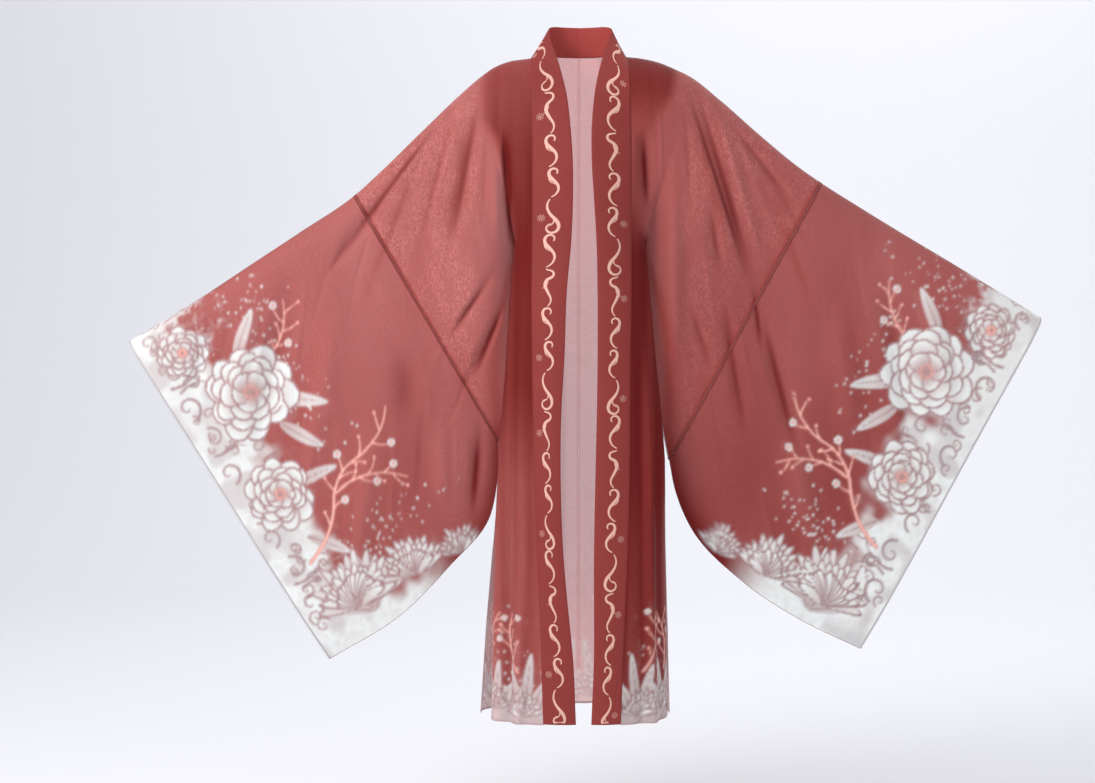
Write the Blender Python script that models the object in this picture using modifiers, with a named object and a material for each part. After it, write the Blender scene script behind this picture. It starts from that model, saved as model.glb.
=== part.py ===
"""Sheer wide-sleeved open robe, filled out with no wearer.

Each side is one panel cut in one over the shoulder with the upper sleeve, joined at the centre
back, with an outer sleeve sewn on and one long neckband round the back neck and down both fronts.
X points to the viewer's right, Y away from the viewer, Z up. The origin is where the wearer's
shoulders hold the robe up. Tables are in millimetres, and x in them grows away from the middle.
"""

import math

import bmesh
import bpy
import numpy as np

MM = 0.001

# Sizes of the cloth and its seams
WALL = 1.6
BAND_WALL = 2.4
SEAM_GAP = 0.3
BEND_ROOM = 0.12
LAYER_GAP = 1.2
ARMPIT_ROOM = 1.4

# Levels of the body
CHEST_Z = -365.0
HEM_Z = -1282.0
RING_POWER = 2.5

# Cells across and along each sheet
BODY_COLUMNS = 10
INNER_COLUMNS = 11
LOWER_ROWS = 13
BAND_CELLS = 3
OUTER_COLUMNS = 13

# Fractions of the way down from the top fold where the rows of the front layer lie
FRONT_ROWS = (0, .018, .042, .07, .105, .15, .21, .28, .36, .44, .52, .60, .68, .76, .84, .92, 1)
NECK_ROWS = (0, .08, .2, .36, .56, .78, 1)
BACK_ROWS = 10

# Rings of the body: level, half width front, half width back, depth front, depth back, slit gap
RINGS = {
    "right": (
        (-365, 126, 126, 118, 104, 5.2), (-400, 127, 127, 119, 105, 1.2),
        (-430, 129, 129, 120, 106, 0.3), (-500, 132, 132, 122, 108, 0.3),
        (-600, 138, 138, 124, 111, 0.3), (-753, 149, 149, 127, 115, 0.3),
        (-850, 157, 158, 129, 118, 0.3), (-950, 163, 167, 130, 121, 0.3),
        (-1100, 167, 180, 129, 124, 12), (-1282, 169, 192, 127, 126, 26),
    ),
    "left": (
        (-365, 126, 126, 118, 104, 5.2), (-400, 127, 127, 119, 105, 1.2),
        (-430, 129, 129, 120, 106, 0.3), (-500, 134, 134, 122, 108, 0.3),
        (-600, 143, 143, 124, 111, 0.3), (-700, 154, 154, 126, 114, 0.3),
        (-790, 162, 162, 128, 116, 0.3), (-950, 166, 166, 130, 121, 0.3),
        (-1100, 168, 170, 129, 124, 12), (-1282, 169, 175, 127, 126, 26),
    ),
}

# Top fold of each side: x, z from the neck over the shoulder and down the arm to the cuff
RIDGE = {
    "right": ((93, -12), (135, -18), (164, -29), (189, -46), (232, -83), (309, -157), (387, -233),
              (435.5, -277), (542, -349), (639, -413), (736, -477), (872, -559)),
    "left": ((88, -9), (117, -12), (156, -21), (185, -33), (210.5, -45), (272.6, -93), (350, -161),
             (428, -225), (466.6, -252), (544, -301), (622, -349), (719, -407), (816, -466),
             (893.4, -514)),
}
SHOULDER_ROW = {"right": 3, "left": 4}
SEAM_ROW = {"right": 7, "left": 8}

# Lower edge of the upper sleeve: x, y, z from the armpit to the joining seam
FOOT = {
    "right": ((126, 0, -365), (136, -8, -430), (143, -14, -500), (150, -16, -600),
              (157, -10, -690), (164, 0, -753)),
    "left": ((126, 0, -365), (135, -6, -405), (140, -16, -470), (147, -22, -550),
             (157, -17, -650), (170, -7, -725), (184, 0, -790)),
}

# Lower edge of the outer sleeve: fraction of the way to the cuff, x, z
BOTTOM = {
    "right": ((0, 164, -753), (.10, 163, -835), (.21, 176, -905), (.44, 251, -995),
              (.70, 348, -1092), (1, 484, -1176)),
    "left": ((0, 184, -790), (.08, 191, -850), (.20, 218, -925), (.44, 321, -1030),
             (.70, 428, -1100), (1, 544, -1156)),
}

# Armhole line: fraction down from shoulder to armpit, fraction inwards, depth
ARMHOLE = ((0, 0, 0), (.04, .01, 34), (.15, .08, 60), (.31, .24, 75), (.50, .43, 74),
           (.70, .66, 55), (.89, .88, 28), (1, 1, 2.6))

# Half thickness of the hanging sleeve: fraction down, at the joining seam, at the cuff
HANG = ((0, 0, 0), (.012, 20, 18), (.035, 32, 27), (.07, 38, 32), (.13, 38, 32), (.28, 28, 27),
        (.50, 24, 25), (.75, 21, 23), (.90, 13, 15), (1, 1.2, 1.2))

# Neckband above the chest: seam edge x, y, z and free edge x, y, z
NECKBAND = {
    "right": ((0, 67, 1, 0, 55, 57), (34, 62, 1, 27, 50, 57), (66, 43, -1, 48, 34, 55),
              (86, 20, -7, 58, 18, 50), (93, 0, -12, 59, 2, 43), (93.5, -28, -19, 57, -12, 24),
              (93, -50, -34, 50, -30, -2), (92.5, -66, -52, 43, -48, -24),
              (91.5, -80, -82, 35, -70, -56), (91, -89, -120, 26, -96, -100),
              (90, -94, -165, 20, -110, -154), (89.5, -96, -225, 15.5, -118, -220),
              (89.5, -96, -300, 15, -119, -300)),
    "left": ((0, 67, 1, 0, 55, 57), (33, 62, 1, 27, 50, 57), (64, 43, 1, 50, 34, 55),
             (82, 20, -5, 60, 18, 50), (88, 0, -9, 62, 2, 44), (90, -28, -17, 58, -12, 25),
             (92, -50, -32, 50, -28, 3), (93, -66, -50, 43, -46, -22),
             (94, -80, -80, 35, -68, -54), (94.5, -89, -120, 27, -98, -99),
             (95, -94, -165, 22, -112, -153), (95.5, -95, -225, 21.5, -119, -220),
             (95.5, -95, -300, 26, -120, -300)),
}
NECK_SIDE_ROW = 4

# Neckband below the chest: z, seam edge x and free edge x on the right, then on the left
FRONTBAND = (
    (-365, 90, 17.5, 95.5, 30), (-477, 91, 27, 95, 32.5), (-593, 90, 31, 93, 32.5),
    (-700, 88, 37, 92, 31), (-830, 85, 38, 91, 28), (-965, 80, 33, 87, 25.5),
    (-1058, 76, 25, 83, 25.5), (-1152, 73, 15.5, 79, 25.5), (-1282, 69, 9.5, 74, 20.5),
)

# Bend of the neckband away from flat: level, height of its middle
BAND_BULGE = ((60, 0), (-20, 1), (-120, 3), (-365, 6.5), (-700, 5.5), (-1282, 4))

# Centre back below the neck: y, z
CENTRE_BACK = ((67, 1), (73, -22), (82, -62), (93, -140), (100, -240), (104, -365))

# Large folds of each panel and sleeve: x and z at each end, half width, height outwards
FOLDS = {
    "right front": (
        (189, -64, 245, -347, 17, -13), (354, -252, 486, -433, 15, -10),
        (144, -150, 129, -330, 9, -11), (160, -165, 158, -420, 11, 10),
        (162, -423, 255, -555, 9, -6), (145, -487, 216, -640, 9, -8),
        (340, -560, 330, -740, 24, -11), (270, -700, 262, -900, 20, 11),
        (193, -700, 210, -930, 15, -10), (460, -440, 540, -900, 26, 11),
        (545, -400, 640, -860, 22, -12), (390, -640, 440, -1080, 24, 10),
        (610, -440, 700, -780, 20, 8), (700, -500, 760, -700, 18, -8),
        (112, -420, 116, -1290, 10, 7), (129, -520, 138, -1290, 9, -7),
        (143, -620, 158, -1290, 10, 8),
    ),
    "left front": (
        (214, -54, 344, -481, 14, -14), (344, -481, 428, -811, 15, -11),
        (236, -54, 366, -470, 14, 8), (265, -114, 422, -314, 9, -6),
        (245, -287, 271, -448, 12, -8), (271, -448, 323, -770, 13, -8),
        (207, -481, 259, -629, 10, -6), (168, -130, 182, -700, 20, 19),
        (118, -150, 128, -330, 12, -19), (480, -420, 540, -880, 26, 11),
        (570, -370, 660, -840, 22, -12), (400, -700, 460, -1050, 22, 10),
        (650, -420, 730, -760, 20, 8), (740, -470, 790, -660, 18, -8),
        (112, -420, 116, -1290, 10, -5), (127, -500, 136, -1290, 9, 7),
        (143, -620, 158, -1290, 10, -7),
    ),
    "right back": (
        (200, -70, 270, -420, 18, -13), (330, -230, 450, -560, 18, -10),
        (160, -150, 150, -420, 14, 13), (230, -470, 300, -840, 20, 10),
        (480, -420, 570, -880, 26, -12), (380, -640, 440, -1060, 22, 11),
        (580, -420, 670, -820, 22, 11), (690, -490, 740, -720, 18, -8),
        (28, -200, 34, -1290, 12, -8), (58, -150, 70, -1290, 12, 8),
        (88, -260, 108, -1290, 12, -8), (116, -450, 148, -1290, 12, 8),
        (140, -700, 176, -1290, 10, -7),
    ),
    "left back": (
        (220, -70, 300, -440, 18, -11), (360, -230, 470, -540, 18, -10),
        (160, -150, 152, -420, 14, 13), (240, -500, 320, -840, 20, 10),
        (500, -400, 590, -860, 26, -12), (410, -640, 470, -1040, 22, 11),
        (600, -390, 690, -800, 22, 11), (720, -470, 770, -700, 18, -8),
        (24, -260, 30, -1290, 12, 7), (52, -180, 62, -1290, 12, -8),
        (84, -220, 102, -1290, 12, 8), (114, -480, 144, -1290, 12, -8),
        (140, -700, 174, -1290, 10, 7),
    ),
}

SIDES = {"right": -1.0, "left": 1.0}
COLOURS = {
    "body_right": (0.55, 0.12, 0.11),
    "body_left": (0.50, 0.10, 0.10),
    "sleeve_right": (0.68, 0.25, 0.22),
    "sleeve_left": (0.66, 0.22, 0.20),
    "neckband": (0.36, 0.05, 0.06),
}
SAMPLES = 400


def smooth(value):
    """Ease from 0 to 1."""
    value = min(1.0, max(0.0, value))
    return value * value * (3 - 2 * value)


def tabled(rows, column, at, key=0):
    """Value of a column where the key column reaches the given number."""
    keys = [row[key] for row in rows]
    values = [row[column] for row in rows]
    if keys[0] > keys[-1]:
        keys.reverse()
        values.reverse()
    return float(np.interp(at, keys, values))


def flowing(points):
    """Smooth curve through points, as many samples evenly spread between each two."""
    points = np.array(points, float)
    steps = np.linalg.norm(np.diff(points, axis=0), axis=1)
    knots = np.concatenate(([0.0], np.cumsum(steps)))
    slopes = np.gradient(points, knots, axis=0)
    at = np.linspace(0, knots[-1], SAMPLES)
    span = np.clip(np.searchsorted(knots, at, side="right") - 1, 0, len(steps) - 1)
    width = steps[span][:, None]
    part = ((at - knots[span])[:, None]) / width
    square = part * part
    cube = square * part
    return (
        (2 * cube - 3 * square + 1) * points[span]
        + (cube - 2 * square + part) * width * slopes[span]
        + (3 * square - 2 * cube) * points[span + 1]
        + (cube - square) * width * slopes[span + 1]
    )


def lengths(curve):
    """Length along a sampled curve at each sample."""
    steps = np.linalg.norm(np.diff(curve, axis=0), axis=1)
    return np.concatenate(([0.0], np.cumsum(steps)))


def along(curve, fraction):
    """Point at a fraction of a curve's length."""
    run = lengths(curve)
    at = fraction * run[-1]
    return np.array([np.interp(at, run, curve[:, axis]) for axis in range(curve.shape[1])])


def ring_depth(side, layer, z, x):
    """Depth of the body at a level, x from the middle."""
    half = tabled(RINGS[side], 1 if layer == "front" else 2, z)
    deep = tabled(RINGS[side], 3 if layer == "front" else 4, z)
    edge = tabled(RINGS[side], 5, z) / 2
    share = max(0.0, 1 - (abs(x) / half) ** RING_POWER) ** (1 / RING_POWER)
    return edge + (deep - edge) * share


def band_edges(side):
    """Seam edge and free edge of the neckband from the centre back to the hem."""
    seam_column = 1 if side == "right" else 3
    rows = [list(row) for row in NECKBAND[side]]
    for row in FRONTBAND:
        z, seam_x, free_x = row[0], row[seam_column], row[seam_column + 1]
        rows.append([seam_x, -ring_depth(side, "front", z, seam_x), z,
                     free_x, -ring_depth(side, "front", z, free_x), z])
    return flowing(rows)


BAND = {side: band_edges(side) for side in SIDES}


def band_place(side, z):
    """Sample number of the neckband where its seam edge reaches a level below the shoulder."""
    levels = BAND[side][:, 2]
    below = int(np.argmin(np.abs(levels - NECKBAND[side][-3][2])))
    return float(np.interp(-z, -levels[below:], np.arange(below, SAMPLES)))


def band_at(side, place):
    """Seam point and free point of the neckband at a sample number."""
    row = [np.interp(place, np.arange(SAMPLES), BAND[side][:, axis]) for axis in range(6)]
    return np.array(row[:3]), np.array(row[3:])


def neck_place(side):
    """Sample number of the neckband at the side of the neck, on the top fold."""
    ys = BAND[side][:SAMPLES // 3, 1]
    return float(np.interp(0.0, -ys, np.arange(len(ys))))


def front_place(side, v):
    """Sample number of the neckband beside a row of the front chest."""
    first, last = neck_place(side), band_place(side, CHEST_Z)
    run = lengths(BAND[side][:, :3])
    places = np.arange(SAMPLES)
    ends = np.interp([first, last], places, run)
    return float(np.interp(ends[0] + v * (ends[1] - ends[0]), run, places))


def stand(side, place):
    """How far the neckband stands up from the panel, 0 level with it and 1 square to it."""
    seam, free = band_at(side, place)
    across = free - seam
    lift = max(0.0, across[2]) / np.linalg.norm(across)
    return smooth((seam[1] + 105) / 90) * min(1.0, 0.55 + lift * 0.6)


def panel_edge(side, place):
    """Edge of the body panel beside the neckband."""
    seam, free = band_at(side, place)
    away = seam - free
    away[2] = 0 if seam[2] > -120 else away[2]
    away /= np.linalg.norm(away)
    return seam + away * (SEAM_GAP / 2 + BEND_ROOM + 1.3 * stand(side, place))


RIDGES = {side: flowing([(x, 0, z) for x, z in RIDGE[side]]) for side in SIDES}


def ridge_part(side, first, last):
    """Part of the top fold between two rows of its table."""
    curve = RIDGES[side]
    marks = [int(np.argmin(np.abs(curve[:, 0] - RIDGE[side][row][0]))) for row in (first, last)]
    part = curve[marks[0]:marks[1] + 1].copy()
    part[0] = (RIDGE[side][first][0], 0, RIDGE[side][first][1])
    part[-1] = (RIDGE[side][last][0], 0, RIDGE[side][last][1])
    return part


def armhole(side, layer):
    """Line from the shoulder to the armpit on one layer."""
    x, z = RIDGE[side][SHOULDER_ROW[side]]
    end = FOOT[side][0]
    sign = -1 if layer == "front" else 1
    return flowing([
        (x + (end[0] - x) * across, sign * deep, z + (end[2] - z) * down)
        for down, across, deep in ARMHOLE
    ])


def hang(side, layer, top, bottom, cuff):
    """Line over the top fold and down to the lower edge of the sleeve."""
    sign = -1 if layer == "front" else 1
    rows = []
    for down, at_seam, at_cuff in HANG:
        deep = at_seam + (at_cuff - at_seam) * cuff
        point = top + (bottom - top) * down
        rows.append((point[0], point[1] + sign * deep, point[2]))
    return flowing(rows)


def seam_line(side, layer):
    """Joining seam from the top fold to the lower edge."""
    x, z = RIDGE[side][SEAM_ROW[side]]
    return hang(side, layer, np.array((x, 0, z)), np.array(FOOT[side][-1], float), 0.0)


def seam_step(side, amount):
    """Step away from the joining seam, towards the cuff where positive."""
    x, z = RIDGE[side][SEAM_ROW[side]]
    foot = FOOT[side][-1]
    down = np.array((foot[0] - x, 0, foot[2] - z))
    down /= np.linalg.norm(down)
    return np.array((-down[2], 0, down[0])) * amount


def coons(top, bottom, inner, outer, u, v):
    """Point of the patch between four edges."""
    eased = smooth(v)
    start, end = along(inner, 0), along(inner, 1)
    far_start, far_end = along(outer, 0), along(outer, 1)
    across = (1 - eased) * along(top, u) + eased * along(bottom, u)
    down = (1 - u) * along(inner, v) + u * along(outer, v)
    corners = (1 - eased) * ((1 - u) * start + u * far_start)
    corners = corners + eased * ((1 - u) * end + u * far_end)
    return across + down - corners


def ring_line(side, layer, z):
    """Line round the body at a level, from the front or back edge to the side seam."""
    half = tabled(RINGS[side], 1 if layer == "front" else 2, z)
    sign = -1 if layer == "front" else 1
    if layer == "front":
        first = panel_edge(side, band_place(side, z))
    else:
        first = np.array((SEAM_GAP / 2 + BEND_ROOM, tabled(RINGS[side], 4, z), z))
    start = math.asin(min(1.0, first[0] / half) ** (RING_POWER / 2))
    angles = np.linspace(start, math.pi / 2, 60)
    xs = half * np.sin(angles) ** (2 / RING_POWER)
    ys = np.array([sign * ring_depth(side, layer, z, x) for x in xs])
    ys += (first[1] - ys[0]) * np.linspace(1, 0, 60)
    return np.stack((xs, ys, np.full(60, float(z))), axis=1)


def fold_height(side, layer, x, z):
    """How far the folds lift the cloth at a point."""
    total = 0.0
    for x0, z0, x1, z1, width, height in FOLDS[side + " " + layer]:
        span = math.hypot(x1 - x0, z1 - z0)
        ahead = ((x - x0) * (x1 - x0) + (z - z0) * (z1 - z0)) / span
        aside = ((x - x0) * (z1 - z0) - (z - z0) * (x1 - x0)) / span
        ends = smooth(ahead / (0.3 * span)) * smooth((span - ahead) / (0.3 * span))
        if z1 <= HEM_Z:
            ends = smooth(ahead / (0.5 * span)) if ahead < span else 1.0
        total += height * math.exp(-((aside / width) ** 2)) * ends
    return total


def folded(side, layer, point, fade):
    """Point lifted by the folds, outwards from the body or sleeve."""
    x, y, z = point
    armpit = smooth(math.hypot(x - FOOT[side][0][0], z - CHEST_Z) / 60)
    lift = fold_height(side, layer, x, z) * fade * armpit
    sign = -1.0 if layer == "front" else 1.0
    half = tabled(RINGS[side], 1, z)
    sideways = 0.0
    if x < half + 1 and z < CHEST_Z:
        sideways = min(1.0, x / half) ** (RING_POWER - 1) * smooth((CHEST_Z - z) / 100)
    direction = np.array((sideways, sign * math.sqrt(1 - min(1, sideways) ** 2), 0))
    return np.array(point) + direction * lift


def body_rows():
    """Rows of the body panel: layer, part, fraction down or level."""
    levels = np.linspace(CHEST_Z, HEM_Z, LOWER_ROWS + 1)
    rows = [("front", "lower", z) for z in levels[:0:-1]]
    rows += [("front", "upper", v) for v in FRONT_ROWS[::-1]]
    rows += [("back", "upper", v) for v in back_fractions()[1:]]
    rows += [("back", "lower", z) for z in levels[1:]]
    return rows


def neck_fraction():
    """Fraction of the back panel's inner edge that the neck takes."""
    neck = lengths(flowing([row[:3] for row in NECKBAND["right"][:NECK_SIDE_ROW + 1]]))[-1]
    spine = lengths(flowing([(0, y, z) for y, z in CENTRE_BACK]))[-1]
    return neck / (neck + spine)


def back_fractions():
    """Fractions of the way down where the rows of the back layer lie."""
    share = neck_fraction()
    rows = [share * part for part in NECK_ROWS]
    return rows + [share + (1 - share) * (row + 1) / BACK_ROWS for row in range(BACK_ROWS)]


def centre_back(side):
    """Edge of the back panel down the centre back, from below the neckband."""
    spine = flowing([(SEAM_GAP / 2 + BEND_ROOM, y, z) for y, z in CENTRE_BACK])
    drop = panel_edge(side, 0) - spine[0]
    drop[0] = 0
    return spine + drop * np.linspace(1, 0, SAMPLES)[:, None] ** 4


class Panel:
    """Edges of one side's body panel, worked out once."""

    def __init__(self, side):
        self.side = side
        self.shoulder = ridge_part(side, 0, SHOULDER_ROW[side])
        self.arm = ridge_part(side, SHOULDER_ROW[side], SEAM_ROW[side])
        self.neck = neck_place(side)
        self.spine = centre_back(side)
        self.hole = {}
        self.seam = {}
        self.foot = {}
        self.ring = {}
        drop = panel_edge(side, self.neck) - self.shoulder[0]
        self.shoulder += drop * np.linspace(1, 0, len(self.shoulder))[:, None]
        for layer in ("front", "back"):
            sign = -1 if layer == "front" else 1
            self.hole[layer] = armhole(side, layer)
            self.seam[layer] = seam_line(side, layer)
            rows = flowing(FOOT[side])
            rows[:, 1] += sign * (LAYER_GAP + ARMPIT_ROOM * np.linspace(1, 0, SAMPLES) ** 4)
            self.foot[layer] = rows
            self.ring[layer] = ring_line(side, layer, CHEST_Z)

    def inner_at(self, layer, v):
        """Inner edge of a layer at a fraction down."""
        if layer == "back":
            share = neck_fraction()
            if v <= share:
                point = panel_edge(self.side, self.neck * (1 - v / share))
                point[0] = max(point[0], SEAM_GAP / 2 + BEND_ROOM)
                return point
            return along(self.spine, (v - share) / (1 - share))
        return panel_edge(self.side, front_place(self.side, v))

    def chest(self, layer, u, v):
        """Point of the chest or the upper back."""
        eased = smooth(v)
        inner, hole = self.inner_at(layer, v), along(self.hole[layer], v)
        ring = self.ring[layer]
        start, end = self.inner_at(layer, 0), self.inner_at(layer, 1)
        top = along(self.shoulder, u) + (start - self.shoulder[0]) * (1 - u)
        across = (1 - eased) * top + eased * (along(ring, u) + (end - ring[0]) * (1 - u))
        down = (1 - u) * inner + u * hole
        corners = (1 - eased) * ((1 - u) * start + u * self.hole[layer][0])
        corners = corners + eased * ((1 - u) * end + u * self.hole[layer][-1])
        return across + down - corners

    def place(self, column, row):
        """Point of the panel at a column and a row."""
        layer, part, value = row
        side = self.side
        if part == "lower":
            u = column / BODY_COLUMNS
            point = along(ring_line(side, layer, value), u)
            fade = smooth(u / 0.15) * smooth((1 - u) / 0.15)
            return folded(side, layer, point, fade)
        if column <= BODY_COLUMNS:
            u = column / BODY_COLUMNS
            point = self.chest(layer, u, value)
            fade = smooth(u / 0.15) * smooth(value / 0.12)
            side_fade = smooth((1 - u) / 0.15)
            fade *= side_fade + (1 - side_fade) * (1 - smooth((value - 0.7) / 0.3))
            return folded(side, layer, point, fade)
        u = inner_fraction(column - BODY_COLUMNS)
        point = coons(self.arm, self.foot[layer], self.hole[layer], self.seam[layer], u, value)
        point = point - seam_step(side, SEAM_GAP / 2 + BEND_ROOM) * u ** 6
        fade = smooth(value / 0.12) * smooth((1 - value) / 0.12)
        return folded(side, layer, point, fade)


def inner_fraction(column):
    """Fraction across the upper sleeve, with one narrow column along the seam."""
    if column == INNER_COLUMNS:
        return 1.0
    return 0.985 * column / (INNER_COLUMNS - 1)


def outer_fraction(column):
    """Fraction across the outer sleeve, with one narrow column along the seam."""
    if column == 0:
        return 0.0
    return 0.01 + 0.99 * (column - 1) / (OUTER_COLUMNS - 1)


def outer_place(side, column, row, arm):
    """Point of the outer sleeve at a column and a row."""
    layer, value = row
    u = outer_fraction(column)
    top = along(arm, u)
    low = [(x, 0, z) for _, x, z in BOTTOM[side]]
    marks = [mark for mark, _, _ in BOTTOM[side]]
    curve = flowing(low)
    run = lengths(curve)
    knots = [np.interp(z, curve[::-1, 2], run[::-1]) / run[-1] for _, _, z in low]
    knots[0], knots[-1] = 0.0, 1.0
    bottom = along(curve, float(np.interp(u, marks, knots)))
    point = along(hang(side, layer, top, bottom, u), value)
    point = point + seam_step(side, SEAM_GAP / 2 + BEND_ROOM) * (1 - u) ** 6
    fade = smooth(value / 0.12) * smooth((1 - value) / 0.12)
    return folded(side, layer, point, fade)


def sheet(name, columns, rows, place, kept, wall, collection):
    """One sheet of cloth: a grid moved onto its form and given its thickness."""
    grid = bmesh.new()
    bmesh.ops.create_grid(grid, x_segments=columns, y_segments=rows, size=0.5)
    cut = []
    for face in grid.faces:
        middle = face.calc_center_median()
        cell = (int((middle.x + 0.5) * columns), int((middle.y + 0.5) * rows))
        if not kept(*cell):
            cut.append(face)
    bmesh.ops.delete(grid, geom=cut, context="FACES")
    for vertex in grid.verts:
        column = round((vertex.co.x + 0.5) * columns)
        row = round((vertex.co.y + 0.5) * rows)
        vertex.co = [value * MM for value in place(column, row)]
    mesh = bpy.data.meshes.new(name)
    grid.to_mesh(mesh)
    grid.free()
    body = bpy.data.objects.new(name, mesh)
    collection.objects.link(body)
    thicken = body.modifiers.new("wall", "SOLIDIFY")
    thicken.thickness = wall * MM
    thicken.offset = 0
    thicken.use_even_offset = False
    material = bpy.data.materials.new(name + "_cloth")
    material.use_nodes = True
    shader = material.node_tree.nodes["Principled BSDF"]
    shader.inputs["Base Color"].default_value = (*COLOURS[name], 1)
    shader.inputs["Roughness"].default_value = 0.8
    mesh.materials.append(material)
    return body


def mirrored(side, point):
    """Point with x set to its own side."""
    return (SIDES[side] * point[0], point[1], point[2])


def make_body(side, collection):
    """Front, back and upper sleeve of one side, cut in one."""
    panel = Panel(side)
    rows = body_rows()
    first = LOWER_ROWS
    last = len(rows) - 1 - LOWER_ROWS

    def place(column, row):
        return mirrored(side, panel.place(column, rows[row]))

    def kept(column, row):
        return column < BODY_COLUMNS or first <= row < last

    columns = BODY_COLUMNS + INNER_COLUMNS
    sheet("body_" + side, columns, len(rows) - 1, place, kept, WALL, collection)


def make_sleeve(side, collection):
    """Outer sleeve of one side, folded at the top and open at the cuff."""
    arm = ridge_part(side, SEAM_ROW[side], len(RIDGE[side]) - 1)
    rows = [("front", v) for v in FRONT_ROWS[::-1]]
    rows += [("back", v) for v in back_fractions()[1:]]

    def place(column, row):
        return mirrored(side, outer_place(side, column, rows[row], arm))

    def kept(column, row):
        return True

    sheet("sleeve_" + side, OUTER_COLUMNS, len(rows) - 1, place, kept, WALL, collection)


def band_sections(side):
    """Places along the neckband that match the rows of the panel, centre back to hem."""
    neck = neck_place(side)
    places = [neck * (1 - part) for part in NECK_ROWS[::-1]]
    places += [front_place(side, v) for v in FRONT_ROWS[1:]]
    levels = np.linspace(CHEST_Z, HEM_Z, LOWER_ROWS + 1)[1:]
    places += [band_place(side, z) for z in levels]
    return places


def make_neckband(collection):
    """Long neckband from one front hem round the back neck to the other."""
    places = {side: band_sections(side) for side in SIDES}
    sections = [("right", place) for place in places["right"][::-1]]
    sections += [("left", place) for place in places["left"][1:]]

    def place(column, row):
        side, at = sections[row]
        seam, free = band_at(side, at)
        across = free - seam
        start = (SEAM_GAP / 2 + 0.9 * stand(side, at)) / np.linalg.norm(across)
        part = start + (1 - start) * column / BAND_CELLS
        point = seam + across * part
        bulge = tabled(BAND_BULGE, 1, point[2]) * 4 * part * (1 - part)
        return mirrored(side, point + np.array((0, -bulge, 0)))

    def kept(column, row):
        return True

    sheet("neckband", BAND_CELLS, len(sections) - 1, place, kept, BAND_WALL, collection)


def main():
    """Clear the file and build the robe."""
    for thing in list(bpy.data.objects):
        bpy.data.objects.remove(thing)
    collection = bpy.data.collections.new("open_robe")
    bpy.context.scene.collection.children.link(collection)
    for side in SIDES:
        make_body(side, collection)
        make_sleeve(side, collection)
    make_neckband(collection)


main()
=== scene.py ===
"""Dressed scene of a sheer wide-sleeved open robe, laid out as a Blender add-on.

Tables are in millimetres, and x in them grows away from the middle of the robe. The form is that
of the solids, but the body's sides and the upper sleeves' lower edges lie a few millimetres nearer
to each other, and the neckband laps over the edges of the body panels.
"""

import math

import bpy
import numpy as np
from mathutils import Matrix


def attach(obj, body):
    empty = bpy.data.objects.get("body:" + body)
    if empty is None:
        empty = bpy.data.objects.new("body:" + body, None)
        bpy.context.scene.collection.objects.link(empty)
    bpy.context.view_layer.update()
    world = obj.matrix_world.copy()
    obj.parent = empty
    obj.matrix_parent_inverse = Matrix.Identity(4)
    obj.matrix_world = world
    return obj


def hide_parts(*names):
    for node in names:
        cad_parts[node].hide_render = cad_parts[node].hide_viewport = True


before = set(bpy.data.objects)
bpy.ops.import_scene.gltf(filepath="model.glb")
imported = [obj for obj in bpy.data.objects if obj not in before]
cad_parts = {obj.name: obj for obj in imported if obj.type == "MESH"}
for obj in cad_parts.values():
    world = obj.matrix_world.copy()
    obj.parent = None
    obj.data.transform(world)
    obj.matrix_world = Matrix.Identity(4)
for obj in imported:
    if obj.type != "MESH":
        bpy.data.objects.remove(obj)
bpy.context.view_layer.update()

bl_info = {
    "name": "Sheer wide-sleeved robe",
    "version": (1, 0, 0),
    "blender": (4, 5, 0),
    "location": "View3D > Sidebar > Robe",
    "description": "Builds the cloth, seams, hems, print and stage of an open robe",
    "category": "Object",
}

MM = 0.001

# Camera: distance in front of the robe, place, and metres to one pixel of the photo
CAMERA_DISTANCE = 3.6
CAMERA_X = -0.0621
CAMERA_Z = -0.658
METRES_PER_PIXEL = 0.00194
PHOTO_WIDTH = 1095

# Sizes of the cloth and its seams
SEAM_GAP = 0.3
BEND_ROOM = 0.12
LAYER_GAP = 1.2
ARMPIT_ROOM = 1.4
BAND_HALF_THICK = 0.9
BAND_OVER_EDGE = 1.0
NECK_CORNER = 5.0
CLOTH_STEP = SEAM_GAP / 2 + BEND_ROOM

# Softness of the print's edges
EDGE_SOFTNESS = 2.4

# Levels of the body
CHEST_Z = -365.0
SLIT_Z = -955.0
HEM_PRINT_Z = -950.0
HEM_Z = -1282.0
RING_POWER = 2.5
RING_SAMPLES = 120

# Cells across and down each sheet
BODY_CELLS = 60
INNER_CELLS = 58
OUTER_WIDE_CELLS = 28
OUTER_FINE_CELLS = 138
OUTER_FINE_FROM = 0.30
TOP_CELLS = 16
TOP_SHARE = 0.08
UPPER_CELLS = 104
OUTER_DOWN_CELLS = 230
MIDDLE_CELLS = 100
HEM_CELLS = 120
SAMPLES = 400
BAND_LONG_SAMPLES = 480
BAND_WIDE_SAMPLES = 17

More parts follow.
